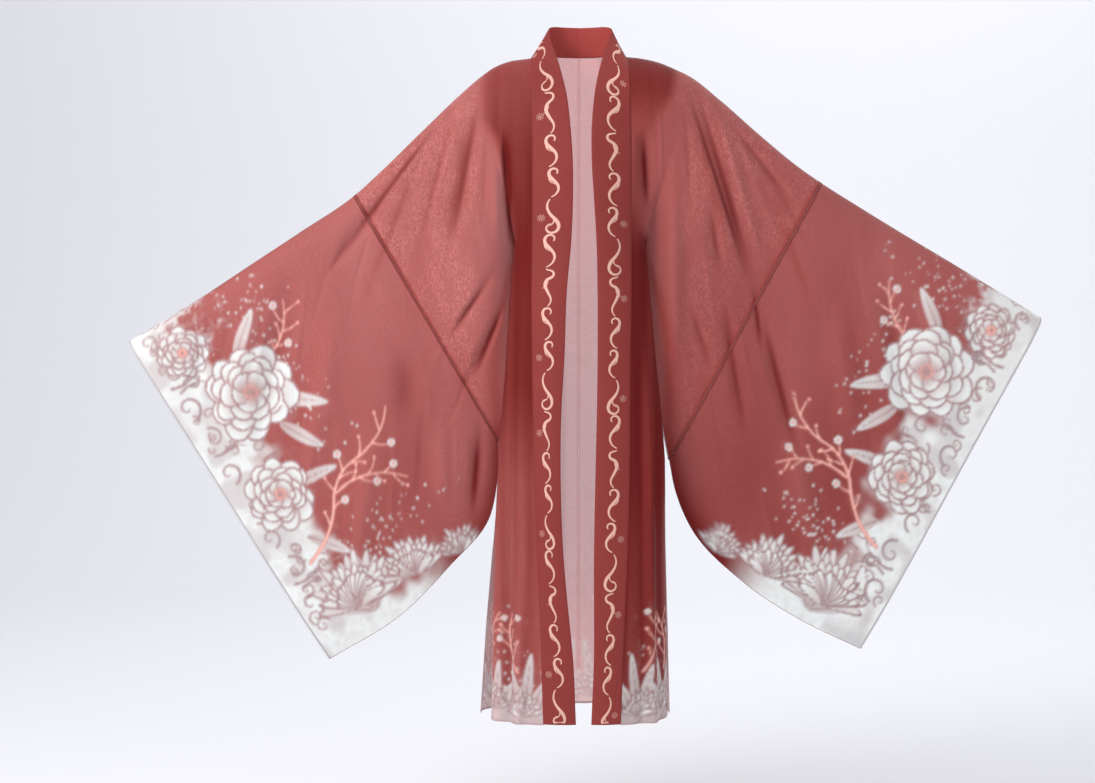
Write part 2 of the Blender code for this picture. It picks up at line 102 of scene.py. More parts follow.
# Rings of the body: level, half width front, half width back, depth front, depth back, slit gap
RINGS = {
    "right": (
        (-365, 126, 126, 118, 104, 5.2), (-400, 128.4, 128.4, 119, 105, 1.2),
        (-430, 132.4, 132.4, 120, 106, 0.3), (-500, 136.8, 136.8, 122, 108, 0.3),
        (-600, 143, 143, 124, 111, 0.3), (-690, 149.5, 149.5, 126, 113, 0.3),
        (-753, 154.5, 154.5, 127, 115, 0.3), (-850, 158.5, 159, 129, 118, 0.3),
        (-950, 163, 167, 130, 121, 0.3),
        (-1100, 167, 180, 129, 124, 12), (-1282, 169, 192, 127, 126, 26),
    ),
    "left": (
        (-365, 126, 126, 118, 104, 5.2), (-400, 128.8, 128.8, 119, 105, 1.2),
        (-430, 132.8, 132.8, 120, 106, 0.3), (-500, 138, 138, 122, 108, 0.3),
        (-600, 147.5, 147.5, 124, 111, 0.3), (-700, 158.5, 158.5, 126, 114, 0.3),
        (-790, 164.5, 164.5, 128, 116, 0.3), (-950, 166, 166, 130, 121, 0.3),
        (-1100, 168, 170, 129, 124, 12), (-1282, 169, 175, 127, 126, 26),
    ),
}

# Top fold of each side: x, z from the neck over the shoulder and down the arm to the cuff
RIDGE = {
    "right": ((93, -12), (135, -18), (164, -29), (189, -46), (232, -83), (309, -157), (387, -233),
              (435.5, -277), (542, -349), (639, -413), (736, -477), (872, -559)),
    "left": ((88, -9), (117, -12), (156, -21), (185, -33), (210.5, -45), (272.6, -93), (350, -161),
             (428, -225), (466.6, -252), (544, -301), (622, -349), (719, -407), (816, -466),
             (893.4, -514)),
}
SHOULDER_ROW = {"right": 3, "left": 4}
SEAM_ROW = {"right": 7, "left": 8}

# Lower edge of the upper sleeve: x, y, z from the armpit to the joining seam
FOOT = {
    "right": ((126, 0, -365), (131.7, -8, -430), (136.2, -14, -500), (142.4, -16, -600),
              (149.3, -10, -690), (156.6, 0, -753)),
    "left": ((126, 0, -365), (129.9, -6, -405), (135.2, -16, -470), (142.0, -22, -550),
             (152.2, -17, -650), (161.2, -7, -725), (174, 0, -790)),
}

# Lower edge of the outer sleeve: fraction of the way to the cuff, x, z
BOTTOM = {
    "right": ((0, 157, -753), (.10, 160, -835), (.21, 176, -905), (.44, 251, -995),
              (.70, 348, -1092), (1, 484, -1176)),
    "left": ((0, 174, -790), (.08, 186, -850), (.20, 218, -925), (.44, 321, -1030),
             (.70, 428, -1100), (1, 544, -1156)),
}

# Armhole line: fraction down from shoulder to armpit, fraction inwards, depth
ARMHOLE = ((0, 0, 0), (.04, .01, 34), (.15, .08, 60), (.31, .24, 75), (.50, .43, 74),
           (.70, .66, 55), (.89, .88, 28), (1, 1, 2.6))

# Half thickness of the hanging sleeve: fraction down, at the joining seam, at the cuff
HANG = ((0, 0, 0), (.012, 20, 18), (.035, 32, 27), (.07, 38, 32), (.13, 38, 32), (.28, 28, 27),
        (.50, 24, 25), (.75, 21, 23), (.90, 13, 15), (1, 1.2, 1.2))

# Neckband above the chest: seam edge x, y, z and free edge x, y, z
NECKBAND = {
    "right": ((0, 67, 1, 0, 55, 57), (34, 62, 1, 27, 50, 57), (66, 43, -1, 48, 34, 55),
              (86, 20, -7, 58, 18, 50), (93, 0, -12, 59, 2, 43), (93.5, -28, -19, 57, -12, 24),
              (93, -50, -34, 50, -30, -2), (92.5, -66, -52, 43, -48, -24),
              (91.5, -80, -82, 35, -70, -56), (91, -89, -120, 26, -96, -100),
              (90, -94, -165, 20, -110, -154), (89.5, -96, -225, 15.5, -118, -220),
              (89.5, -96, -300, 15, -119, -300)),
    "left": ((0, 67, 1, 0, 55, 57), (33, 62, 1, 27, 50, 57), (64, 43, 1, 50, 34, 55),
             (82, 20, -5, 60, 18, 50), (88, 0, -9, 62, 2, 44), (90, -28, -17, 58, -12, 25),
             (92, -50, -32, 50, -28, 3), (93, -66, -50, 43, -46, -22),
             (94, -80, -80, 35, -68, -54), (94.5, -89, -120, 27, -98, -99),
             (95, -94, -165, 22, -112, -153), (95.5, -95, -225, 21.5, -119, -220),
             (95.5, -95, -300, 26, -120, -300)),
}
NECK_SIDE_ROW = 4

# Neckband below the chest: z, seam edge x and free edge x on the right, then on the left
FRONTBAND = (
    (-365, 90, 17.5, 95.5, 30), (-477, 91, 27, 95, 32.5), (-593, 90, 31, 93, 32.5),
    (-700, 88, 37, 92, 31), (-830, 85, 38, 91, 28), (-965, 80, 33, 87, 25.5),
    (-1058, 76, 25, 83, 25.5), (-1152, 73, 15.5, 79, 25.5), (-1282, 69, 9.5, 74, 20.5),
)

# Bend of the neckband away from flat: level, height of its middle
BAND_BULGE = ((60, 0), (-20, 1), (-120, 3), (-365, 6.5), (-700, 5.5), (-1282, 4))

# Centre back below the neck: y, z
CENTRE_BACK = ((67, 1), (73, -22), (82, -62), (93, -140), (100, -240), (104, -365))

# Large folds of each panel and sleeve: x and z at each end, half width, height outwards
FOLDS = {
    "right front": (
        (184, -44, 256, -430, 15, -14), (354, -252, 486, -433, 15, -10),
        (144, -150, 129, -330, 9, -11), (160, -165, 158, -420, 11, 10),
        (146, -402, 276, -586, 9, -7), (136, -466, 228, -666, 9, -10),
        (340, -560, 330, -740, 24, -11), (270, -700, 262, -900, 20, 11),
        (193, -700, 210, -930, 15, -10), (460, -440, 540, -900, 26, 11),
        (545, -400, 640, -860, 22, -12), (390, -640, 440, -1080, 24, 10),
        (610, -440, 700, -780, 20, 8), (700, -500, 760, -700, 18, -8),
        (112, -420, 116, -1290, 10, 7), (129, -520, 138, -1290, 9, -7),
        (143, -620, 158, -1290, 10, 8),
    ),
    "left front": (
        (214, -54, 344, -481, 14, -14), (344, -481, 428, -811, 15, -11),
        (236, -54, 366, -470, 14, 8), (265, -114, 422, -314, 9, -6),
        (245, -287, 271, -448, 12, -8), (271, -448, 323, -770, 13, -8),
        (207, -481, 259, -629, 10, -6), (168, -130, 182, -700, 20, 19),
        (118, -150, 128, -330, 12, -19), (480, -420, 540, -880, 26, 11),
        (570, -370, 660, -840, 22, -12), (400, -700, 460, -1050, 22, 10),
        (650, -420, 730, -760, 20, 8), (740, -470, 790, -660, 18, -8),
        (112, -420, 116, -1290, 10, -5), (127, -500, 136, -1290, 9, 7),
        (143, -620, 158, -1290, 10, -7),
    ),
    "right back": (
        (200, -70, 270, -420, 18, -13), (330, -230, 450, -560, 18, -10),
        (160, -150, 150, -420, 14, 13), (230, -470, 300, -840, 20, 10),
        (480, -420, 570, -880, 26, -12), (380, -640, 440, -1060, 22, 11),
        (580, -420, 670, -820, 22, 11), (690, -490, 740, -720, 18, -8),
        (28, -200, 34, -1290, 12, -8), (58, -150, 70, -1290, 12, 8),
        (88, -260, 108, -1290, 12, -8), (116, -450, 148, -1290, 12, 8),
        (140, -700, 176, -1290, 10, -7),
    ),
    "left back": (
        (220, -70, 300, -440, 18, -11), (360, -230, 470, -540, 18, -10),
        (160, -150, 152, -420, 14, 13), (240, -500, 320, -840, 20, 10),
        (500, -400, 590, -860, 26, -12), (410, -640, 470, -1040, 22, 11),
        (600, -390, 690, -800, 22, 11), (720, -470, 770, -700, 18, -8),
        (24, -260, 30, -1290, 12, 7), (52, -180, 62, -1290, 12, -8),
        (84, -220, 102, -1290, 12, 8), (114, -480, 144, -1290, 12, -8),
        (140, -700, 174, -1290, 10, 7),
    ),
}

# Half width from which a fold's painted shade is laid softly
WIDE_FOLD = 20

# Part of a fold's length over which it fades out at each end
FOLD_END = 0.42

# Painted shade of folds: wide ones or not, share of their width, and painted darkening for each
# millimetre of depth
FOLD_PAINTED_SHADES = ((False, 0.5, 0.036), (True, 0.95, 0.018))

# Finer creases: x and z at each end, half width, height outwards
CREASES = {
    "right front": (
        (216, -84, 286, -330, 5, 2.4), (236, -96, 318, -420, 6, -3.0),
        (262, -130, 330, -370, 5, 2.6), (290, -160, 392, -440, 6, -2.8),
        (330, -205, 430, -400, 4, 2.2), (380, -260, 450, -520, 5, -2.4),
        (176, -110, 186, -360, 5, -2.6), (150, -120, 148, -300, 4, 2.4),
        (262, -128, 440, -366, 6, -4.0), (437, -350, 492, -446, 6, -3.2),
        (152, -150, 128, -410, 6, -4.8), (172, -438, 254, -557, 5, -3.6),
        (142, -480, 210, -646, 5, -4.4),
        (186, -430, 300, -640, 6, 2.4), (170, -520, 268, -760, 5, -2.2),
        (470, -360, 520, -560, 6, -2.2), (520, -400, 560, -700, 5, 2.0),
        (590, -470, 640, -700, 6, 2.2), (660, -480, 700, -640, 5, -2.0),
        (300, -640, 318, -930, 7, -2.6), (352, -700, 372, -1010, 6, 2.2),
        (240, -720, 236, -880, 6, 2.2), (420, -760, 452, -1100, 7, -2.2),
    ),
    "left front": (
        (226, -60, 330, -400, 5, 3.0), (250, -90, 300, -330, 5, -2.8),
        (285, -120, 400, -420, 6, 2.6), (320, -160, 470, -430, 5, -2.6),
        (380, -215, 452, -380, 4, 2.2), (196, -90, 214, -330, 5, -2.8),
        (192, -44, 333, -470, 5, -3.8), (333, -440, 352, -590, 6, -3.6),
        (132, -330, 162, -640, 5, 2.8),
        (150, -110, 156, -300, 4, 2.6), (228, -330, 262, -560, 5, 2.4),
        (292, -470, 350, -740, 6, 2.4), (360, -500, 440, -820, 5, -2.4),
        (250, -640, 292, -860, 6, -2.4), (330, -780, 392, -1020, 6, 2.4),
        (520, -360, 560, -560, 6, -2.2), (600, -400, 640, -640, 5, 2.2),
        (690, -450, 730, -640, 6, -2.0), (780, -500, 806, -620, 5, 2.0),
        (450, -780, 500, -1060, 6, -2.2), (196, -560, 226, -780, 5, 2.2),
    ),
    "right back": (
        (210, -80, 260, -330, 5, 2.8), (238, -110, 330, -400, 6, -2.8),
        (290, -160, 380, -420, 5, 2.6), (360, -250, 430, -470, 5, -2.4),
        (120, -60, 132, -300, 6, 2.6), (90, -80, 100, -330, 5, -2.4),
        (500, -420, 540, -660, 6, 2.2), (620, -470, 660, -700, 5, -2.2),
        (280, -560, 330, -860, 6, -2.4), (400, -700, 430, -1020, 6, 2.2),
        (44, -240, 48, -900, 5, 2.2), (74, -300, 84, -1000, 5, -2.2),
        (102, -420, 116, -1100, 5, 2.0), (16, -420, 18, -1290, 5, 1.6),
    ),
    "left back": (
        (230, -80, 280, -340, 5, 2.8), (256, -100, 350, -400, 6, -2.8),
        (310, -160, 400, -420, 5, 2.6), (380, -240, 440, -460, 5, -2.4),
        (118, -60, 130, -300, 6, -2.6), (88, -80, 98, -330, 5, 2.4),
        (520, -400, 560, -660, 6, 2.2), (640, -440, 680, -680, 5, -2.2),
        (300, -560, 350, -860, 6, -2.4), (430, -700, 460, -1020, 6, 2.2),
        (38, -260, 44, -900, 5, -2.2), (68, -320, 78, -1000, 5, 2.2),
        (98, -440, 110, -1100, 5, -2.0), (14, -480, 16, -1290, 5, -1.6),
    ),
}

# Painted shade where cloth lies over cloth and the body's dim inside shows: level and how far out it
# reaches, on the chest and upper sleeve
PAINTED_SHADE_REACH = {
    "right": ((-10, 150), (-40, 186), (-140, 184), (-178, 158), (-230, 142), (-365, 130),
              (-430, 90)),
    "left": ((0, 150), (-30, 188), (-93, 176), (-128, 150), (-190, 129), (-248, 120),
             (-345, 120), (-365, 130), (-430, 90)),
}

# Depth of the painted shade on the body down its length: level and share
PAINTED_SHADE_FALL = {
    "right": ((0, 0.62), (-120, 0.76), (-200, 0.88), (-400, 1.0), (-640, 0.90), (-830, 0.60),
              (-1282, 0.50)),
    "left": ((0, 0.98), (-90, 0.86), (-150, 0.64), (-300, 0.70), (-400, 0.95), (-900, 0.95),
             (-1282, 0.84)),
}

# Painted shade of the sleeves, 0 pale and 1 deep: the left sleeve, farther from the key light, is
# painted deeper
SLEEVE_PAINTED_SHADE = {"right": 0.25, "left": 0.45}

SIDES = {"right": -1.0, "left": 1.0}
LAYERS = {"front": -1.0, "back": 1.0}

# Fades of folds towards the edges of a sheet, as parts of its width or fall
SIDE_FADE = 0.15
DOWN_FADE = 0.12


# Curves and tables


def smooth(value):
    """Ease from 0 to 1."""
    value = np.clip(value, 0.0, 1.0)
    return value * value * (3 - 2 * value)


def tabled(rows, column, at, key=0):
    """Value of a column where the key column reaches the given numbers."""
    keys = [row[key] for row in rows]
    values = [row[column] for row in rows]
    if keys[0] > keys[-1]:
        keys.reverse()
        values.reverse()
    return np.interp(at, keys, values)


def flowing(points):
    """Smooth curve through points, as many samples evenly spread along it."""
    points = np.array(points, float)
    steps = np.linalg.norm(np.diff(points, axis=0), axis=1)
    knots = np.concatenate(([0.0], np.cumsum(steps)))
    slopes = np.gradient(points, knots, axis=0)
    at = np.linspace(0, knots[-1], SAMPLES)
    span = np.clip(np.searchsorted(knots, at, side="right") - 1, 0, len(steps) - 1)
    width = steps[span][:, None]
    part = ((at - knots[span])[:, None]) / width
    square = part * part
    cube = square * part
    return (
        (2 * cube - 3 * square + 1) * points[span]
        + (cube - 2 * square + part) * width * slopes[span]
        + (3 * square - 2 * cube) * points[span + 1]
        + (cube - square) * width * slopes[span + 1]
    )


def lengths(curve):
    """Length along a sampled curve at each sample."""
    steps = np.linalg.norm(np.diff(curve, axis=0), axis=1)
    return np.concatenate(([0.0], np.cumsum(steps)))


def along(curve, fractions):
    """Points at fractions of a curve's length."""
    run = lengths(curve)
    at = np.asarray(fractions, float) * run[-1]
    return np.stack([np.interp(at, run, curve[:, axis]) for axis in range(3)], axis=-1)


def unit(vectors):
    """Vectors brought to length one."""
    return vectors / np.maximum(np.linalg.norm(vectors, axis=-1, keepdims=True), 1e-9)


def mirrored(side, points):
    """Points in millimetres brought to their own side, in metres."""
    return points * np.array((SIDES[side], 1.0, 1.0)) * MM


# Form of the neckband and of the body rings


def ring_depth(side, layer, z, x):
    """Depth of the body at a level, x from the middle."""
    half = tabled(RINGS[side], 1 if layer == "front" else 2, z)
    deep = tabled(RINGS[side], 3 if layer == "front" else 4, z)
    edge = tabled(RINGS[side], 5, z) / 2
    share = np.maximum(0.0, 1 - (np.abs(x) / half) ** RING_POWER) ** (1 / RING_POWER)
    return edge + (deep - edge) * share


def band_edges(side):
    """Seam edge and free edge of the neckband from the centre back to the hem."""
    seam_column = 1 if side == "right" else 3
    rows = [list(row) for row in NECKBAND[side]]
    for row in FRONTBAND:
        z, seam_x, free_x = row[0], row[seam_column], row[seam_column + 1]
        rows.append([seam_x, -ring_depth(side, "front", z, seam_x), z,
                     free_x, -ring_depth(side, "front", z, free_x), z])
    return flowing(rows)


BAND = {side: band_edges(side) for side in SIDES}


def band_place(side, z):
    """Sample number of the neckband where its seam edge reaches a level below the shoulder."""
    levels = BAND[side][:, 2]
    below = int(np.argmin(np.abs(levels - NECKBAND[side][-3][2])))
    return float(np.interp(-z, -levels[below:], np.arange(below, SAMPLES)))


def band_at(side, place):
    """Seam point and free point of the neckband at a sample number."""
    row = [np.interp(place, np.arange(SAMPLES), BAND[side][:, axis]) for axis in range(6)]
    return np.array(row[:3]), np.array(row[3:])


def neck_place(side):
    """Sample number of the neckband at the side of the neck, on the top fold."""
    ys = BAND[side][:SAMPLES // 3, 1]
    return float(np.interp(0.0, -ys, np.arange(len(ys))))


def front_place(side, v):
    """Sample number of the neckband beside a row of the front chest."""
    first, last = neck_place(side), band_place(side, CHEST_Z)
    run = lengths(BAND[side][:, :3])
    places = np.arange(SAMPLES)
    ends = np.interp([first, last], places, run)
    return float(np.interp(ends[0] + v * (ends[1] - ends[0]), run, places))


def stand(side, place):
    """How far the neckband stands up from the panel, 0 level with it and 1 square to it."""
    seam, free = band_at(side, place)
    across = free - seam
    lift = max(0.0, across[2]) / np.linalg.norm(across)
    return float(smooth((seam[1] + 105) / 90) * min(1.0, 0.55 + lift * 0.6))


BAND_STAND = {side: [stand(side, place) for place in range(SAMPLES)] for side in SIDES}


def panel_edge(side, place):
    """Edge of the body panel beside the neckband."""
    seam, free = band_at(side, place)
    away = seam - free
    away[2] = 0 if seam[2] > -120 else away[2]
    away /= np.linalg.norm(away)
    return seam + away * (CLOTH_STEP + 1.3 * stand(side, place))


RIDGES = {side: flowing([(x, 0, z) for x, z in RIDGE[side]]) for side in SIDES}


def ridge_part(side, first, last):
    """Part of the top fold between two rows of its table."""
    curve = RIDGES[side]
    marks = [int(np.argmin(np.abs(curve[:, 0] - RIDGE[side][row][0]))) for row in (first, last)]
    part = curve[marks[0]:marks[1] + 1].copy()
    part[0] = (RIDGE[side][first][0], 0, RIDGE[side][first][1])
    part[-1] = (RIDGE[side][last][0], 0, RIDGE[side][last][1])
    return part


def armhole(side, layer):
    """Line from the shoulder to the armpit on one layer."""
    x, z = RIDGE[side][SHOULDER_ROW[side]]
    end = FOOT[side][0]
    return flowing([
        (x + (end[0] - x) * across, LAYERS[layer] * deep, z + (end[2] - z) * down)
        for down, across, deep in ARMHOLE
    ])


def hang(layer, top, bottom, cuff):
    """Line over the top fold and down to the lower edge of the sleeve."""
    rows = []
    for down, at_seam, at_cuff in HANG:
        deep = at_seam + (at_cuff - at_seam) * cuff
        point = top + (bottom - top) * down
        rows.append((point[0], point[1] + LAYERS[layer] * deep, point[2]))
    return flowing(rows)


def seam_line(side, layer):
    """Joining seam from the top fold to the lower edge."""
    x, z = RIDGE[side][SEAM_ROW[side]]
    return hang(layer, np.array((x, 0, z)), np.array(FOOT[side][-1], float), 0.0)


def seam_step(side, amount):
    """Step away from the joining seam, towards the cuff where positive."""
    x, z = RIDGE[side][SEAM_ROW[side]]
    foot = FOOT[side][-1]
    down = np.array((foot[0] - x, 0, foot[2] - z))
    down /= np.linalg.norm(down)
    return np.array((-down[2], 0, down[0])) * amount


def ring_line(side, layer, z):
    """Line round the body at a level, from the front or back edge to the side seam."""
    half = float(tabled(RINGS[side], 1 if layer == "front" else 2, z))
    sign = LAYERS[layer]
    if layer == "front":
        first = panel_edge(side, band_place(side, z))
    else:
        first = np.array((CLOTH_STEP, tabled(RINGS[side], 4, z), z))
    start = math.asin(min(1.0, first[0] / half) ** (RING_POWER / 2))
    angles = np.linspace(start, math.pi / 2, RING_SAMPLES)
    xs = half * np.sin(angles) ** (2 / RING_POWER)
    ys = sign * ring_depth(side, layer, z, xs)
    ys += (first[1] - ys[0]) * np.linspace(1, 0, RING_SAMPLES)
    return np.stack((xs, ys, np.full(RING_SAMPLES, float(z))), axis=1)


def neck_fraction():
    """Fraction of the back panel's inner edge that the neck takes."""
    neck = lengths(flowing([row[:3] for row in NECKBAND["right"][:NECK_SIDE_ROW + 1]]))[-1]
    spine = lengths(flowing([(0, y, z) for y, z in CENTRE_BACK]))[-1]
    return neck / (neck + spine)


def centre_back(side):
    """Edge of the back panel down the centre back, from below the neckband."""
    spine = flowing([(CLOTH_STEP, y, z) for y, z in CENTRE_BACK])
    drop = panel_edge(side, 0) - spine[0]
    drop[0] = 0
    return spine + drop * np.linspace(1, 0, SAMPLES)[:, None] ** 4


# Folds and ripples


def fold_weights(rows, x, z, spread=1.0):
    """Height of each fold and its weight at points, 1 along its middle."""
    for x0, z0, x1, z1, width, height in rows:
        span = math.hypot(x1 - x0, z1 - z0)
        ahead = ((x - x0) * (x1 - x0) + (z - z0) * (z1 - z0)) / span
        aside = ((x - x0) * (z1 - z0) - (z - z0) * (x1 - x0)) / span
        ends = smooth(ahead / (FOLD_END * span)) * smooth((span - ahead) / (FOLD_END * span))
        if z1 <= HEM_Z:
            ends = np.where(ahead < span, smooth(ahead / (0.5 * span)), 1.0)
        yield height, np.exp(-((aside / (width * spread)) ** 2)) * ends


def fold_height(side, layer, x, z):
    """How far the folds and creases lift the cloth at points."""
    key = side + " " + layer
    total = np.zeros_like(x)
    for height, weight in fold_weights(FOLDS[key] + CREASES[key], x, z):
        total += height * weight
    return total


def fold_painted_shade(side, layer, x, z):
    """How much painted shade the folds lay on the cloth, and painted highlight, below zero, where they
    catch the light.
    """
    key = side + " " + layer
    total = np.zeros_like(x)
    for wide, spread, share in FOLD_PAINTED_SHADES:
        rows = [row for row in FOLDS[key] if (row[4] >= WIDE_FOLD) == wide]
        for height, weight in fold_weights(rows, x, z, spread):
            total += weight ** 1.2 * float(np.clip(-share * height, -0.12, 0.46))
    # Fine creases: painted shade in their troughs, a faint painted highlight on their ridges
    for height, weight in fold_weights(CREASES[key], x, z, 0.8):
        total += weight * float(np.clip(-0.34 * (height + 2.4), -0.04, 0.6))
    return total


def edge_painted_shade(points):
    """How much painted shade darkens the cloth where it turns over a fold and is seen edge on."""
    return 0.34 * np.exp(-((points[..., 1] / 7) ** 2))


def painted_layer_shade(side, layer, points, part):
    """Painted shade of the cloth from 0, pale, to 1, deep: shade where folds and layers lie over each
    other, on the side away from the light and lower down, with some random tone.
    """
    x, z = points[..., 0], points[..., 2]
    seed = 31 + 2 * (side == "left") + (layer == "back")
    # Streaks of painted shade down the body stand in for the shade of small pleats; the clouds are
    # random tone
    streaks = drift(x + 4000, z * 0.05 + 4000, 13, seed)
    clouds = drift(x + 4000, z * 0.5 + 4000, 90, seed + 9)
    # Sleeves: painted shade by side, random clouds of tone, and painted shade deepening down the sleeve
    plain = SLEEVE_PAINTED_SHADE[side] + 0.09 * clouds + 0.24 * smooth((-330 - z) / 600)
    folds = fold_painted_shade(side, layer, x, z)
    if part == "sleeve":
        return plain + edge_painted_shade(points) + folds
    # Body: painted shade of the layers and of the dim inside of the body, by level
    deep = tabled(PAINTED_SHADE_FALL[side], 1, z) + streaks * (0.05 + 0.11 * smooth((-180 - z) / 200))
    if layer == "back":
        deep = deep * smooth((x - 34) / 40)
    if part == "body":
        return deep + 0.6 * folds
    # Chest and upper sleeve: the body's painted shade out to the listed reach, the sleeve's painted
    # shade beyond it
    inside = smooth((tabled(PAINTED_SHADE_REACH[side], 1, z) - x) / 30 + 0.5)
    return inside * deep + (1 - inside) * plain + edge_painted_shade(points) + folds


def drift(across, down, cell, seed):
    """Smooth unevenness between -1 and 1 over flat places, one value to each cell."""
    draws = np.random.RandomState(seed).uniform(-1, 1, (64, 64))
    x, y = across / cell, down / cell
    column, row = np.floor(x).astype(int), np.floor(y).astype(int)
    fx, fy = smooth(x - column), smooth(y - row)
    value = np.zeros_like(x)
    for step_x in (0, 1):
        for step_y in (0, 1):
            weight = (fx if step_x else 1 - fx) * (fy if step_y else 1 - fy)
            value += weight * draws[(row + step_y) % 64, (column + step_x) % 64]
    return value


def ripples(side, layer, x, z):
    """Small soft waves of hanging cloth, long down the fall and short across it."""
    seed = 11 + 2 * (side == "left") + (layer == "back")
    lean = x - 0.22 * z
    wide = drift(lean + 4000, z * 0.16 + 4000, 34, seed)
    fine = drift(lean + 4000, z * 0.22 + 4000, 15, seed + 40)
    return 1.5 * wide + 0.55 * fine


def folded(side, layer, points, fade):
    """Points lifted by the folds, outwards from the body or sleeve."""
    x, z = points[..., 0], points[..., 2]
    armpit = smooth(np.hypot(x - FOOT[side][0][0], z - CHEST_Z) / 60)
    lift = (fold_height(side, layer, x, z) + ripples(side, layer, x, z)) * fade * armpit
    half = tabled(RINGS[side], 1, z)
    turning = np.minimum(1.0, x / half) ** (RING_POWER - 1) * smooth((CHEST_Z - z) / 100)
    sideways = np.where((x < half + 1) & (z < CHEST_Z), turning, 0.0)
    outward = LAYERS[layer] * np.sqrt(1 - np.minimum(1, sideways) ** 2)
    direction = np.stack((sideways, outward, np.zeros_like(x)), axis=-1)
    return points + direction * lift[..., None]


# Sheets of cloth as grids of points


def down_fractions(cells):
    """Fractions down from the top fold, close together where the cloth turns over it."""
    top = np.linspace(0, TOP_SHARE, TOP_CELLS + 1)
    return np.concatenate((top, np.linspace(TOP_SHARE, 1, cells + 1)[1:]))


def lower_levels():
    """Levels of the body below the chest, closer together where the hem is printed."""
    middle = np.linspace(CHEST_Z, HEM_PRINT_Z, MIDDLE_CELLS + 1)[1:]
    return np.concatenate((middle, np.linspace(HEM_PRINT_Z, HEM_Z, HEM_CELLS + 1)[1:]))


class Panel:
    """Body panel of one side: front and back in one with the upper sleeve."""

    def __init__(self, side):
        self.side = side
        self.shoulder = ridge_part(side, 0, SHOULDER_ROW[side])
        self.arm = ridge_part(side, SHOULDER_ROW[side], SEAM_ROW[side])
        self.neck = neck_place(side)
        self.spine = centre_back(side)
        self.share = neck_fraction()
        self.hole = {}
        self.seam = {}
        self.foot = {}
        self.ring = {}
        drop = panel_edge(side, self.neck) - self.shoulder[0]
        self.shoulder += drop * np.linspace(1, 0, len(self.shoulder))[:, None]
        for layer, sign in LAYERS.items():
            self.hole[layer] = armhole(side, layer)
            self.seam[layer] = seam_line(side, layer)
            rows = flowing(FOOT[side])
            rows[:, 1] += sign * (LAYER_GAP + ARMPIT_ROOM * np.linspace(1, 0, SAMPLES) ** 4)
            self.foot[layer] = rows
            self.ring[layer] = ring_line(side, layer, CHEST_Z)

    def inner_at(self, layer, v):
        """Inner edge of a layer at a fraction down."""
        if layer == "back":
            if v <= self.share:
                point = panel_edge(self.side, self.neck * (1 - v / self.share))
                point[0] = max(point[0], CLOTH_STEP)
                return point
            return along(self.spine, (v - self.share) / (1 - self.share))
        return panel_edge(self.side, front_place(self.side, v))

    def chest(self, layer, u, v):
        """One row of the chest or the upper back."""
        eased = float(smooth(v))
        inner, hole = self.inner_at(layer, v), along(self.hole[layer], v)
        ring = self.ring[layer]
        start, end = self.inner_at(layer, 0), self.inner_at(layer, 1)
        u = u[:, None]
        top = along(self.shoulder, u[:, 0]) + (start - self.shoulder[0]) * (1 - u)
        low = along(ring, u[:, 0]) + (end - ring[0]) * (1 - u)
        across = (1 - eased) * top + eased * low
        down = (1 - u) * inner + u * hole
        corners = (1 - eased) * ((1 - u) * start + u * self.hole[layer][0])
        corners = corners + eased * ((1 - u) * end + u * self.hole[layer][-1])
        return across + down - corners

    def upper_sleeve(self, layer, u, v):
        """One row of the upper sleeve, between armhole and joining seam."""
        eased = float(smooth(v))
        inner, outer = self.hole[layer], self.seam[layer]
        top, bottom = along(self.arm, u), along(self.foot[layer], u)
        u = u[:, None]
        across = (1 - eased) * top + eased * bottom
        down = (1 - u) * along(inner, v) + u * along(outer, v)
        corners = (1 - eased) * ((1 - u) * inner[0] + u * outer[0])
        corners = corners + eased * ((1 - u) * inner[-1] + u * outer[-1])
        step = seam_step(self.side, CLOTH_STEP)
        return across + down - corners - step * u ** 6

    def grids(self):
        """Points of the chest and upper sleeve, then of the body below, front and back."""
        u = np.linspace(0, 1, BODY_CELLS + 1)
        sleeve_u = np.linspace(0, 1, INNER_CELLS + 1)[1:]
        fractions = down_fractions(UPPER_CELLS)
        levels = lower_levels()
        made = {}
        for layer in LAYERS:
            chest = np.array([self.chest(layer, u, v) for v in fractions])
            side_fade = smooth((1 - u) / SIDE_FADE)[None, :]
            down = fractions[:, None]
            fade = smooth(u / SIDE_FADE)[None, :] * smooth(down / DOWN_FADE)
            fade = fade * (side_fade + (1 - side_fade) * (1 - smooth((down - 0.7) / 0.3)))
            chest = folded(self.side, layer, chest, fade)
            sleeve = np.array([self.upper_sleeve(layer, sleeve_u, v) for v in fractions])
            fade = smooth(down / DOWN_FADE) * smooth((1 - down) / DOWN_FADE)
            fade = fade * np.ones_like(sleeve_u)
            sleeve = folded(self.side, layer, sleeve, fade)
            lower = np.array([along(ring_line(self.side, layer, z), u) for z in levels])
            fade = smooth(u / SIDE_FADE) * smooth((1 - u) / SIDE_FADE)
            fade = fade * np.ones((len(levels), 1))
            made[layer] = (chest, sleeve, folded(self.side, layer, lower, fade))
        return made


def outer_fractions():
    """Fractions across the outer sleeve, closer together where the cuff is printed."""
    wide = np.linspace(0, OUTER_FINE_FROM, OUTER_WIDE_CELLS + 1)
    return np.concatenate((wide, np.linspace(OUTER_FINE_FROM, 1, OUTER_FINE_CELLS + 1)[1:]))


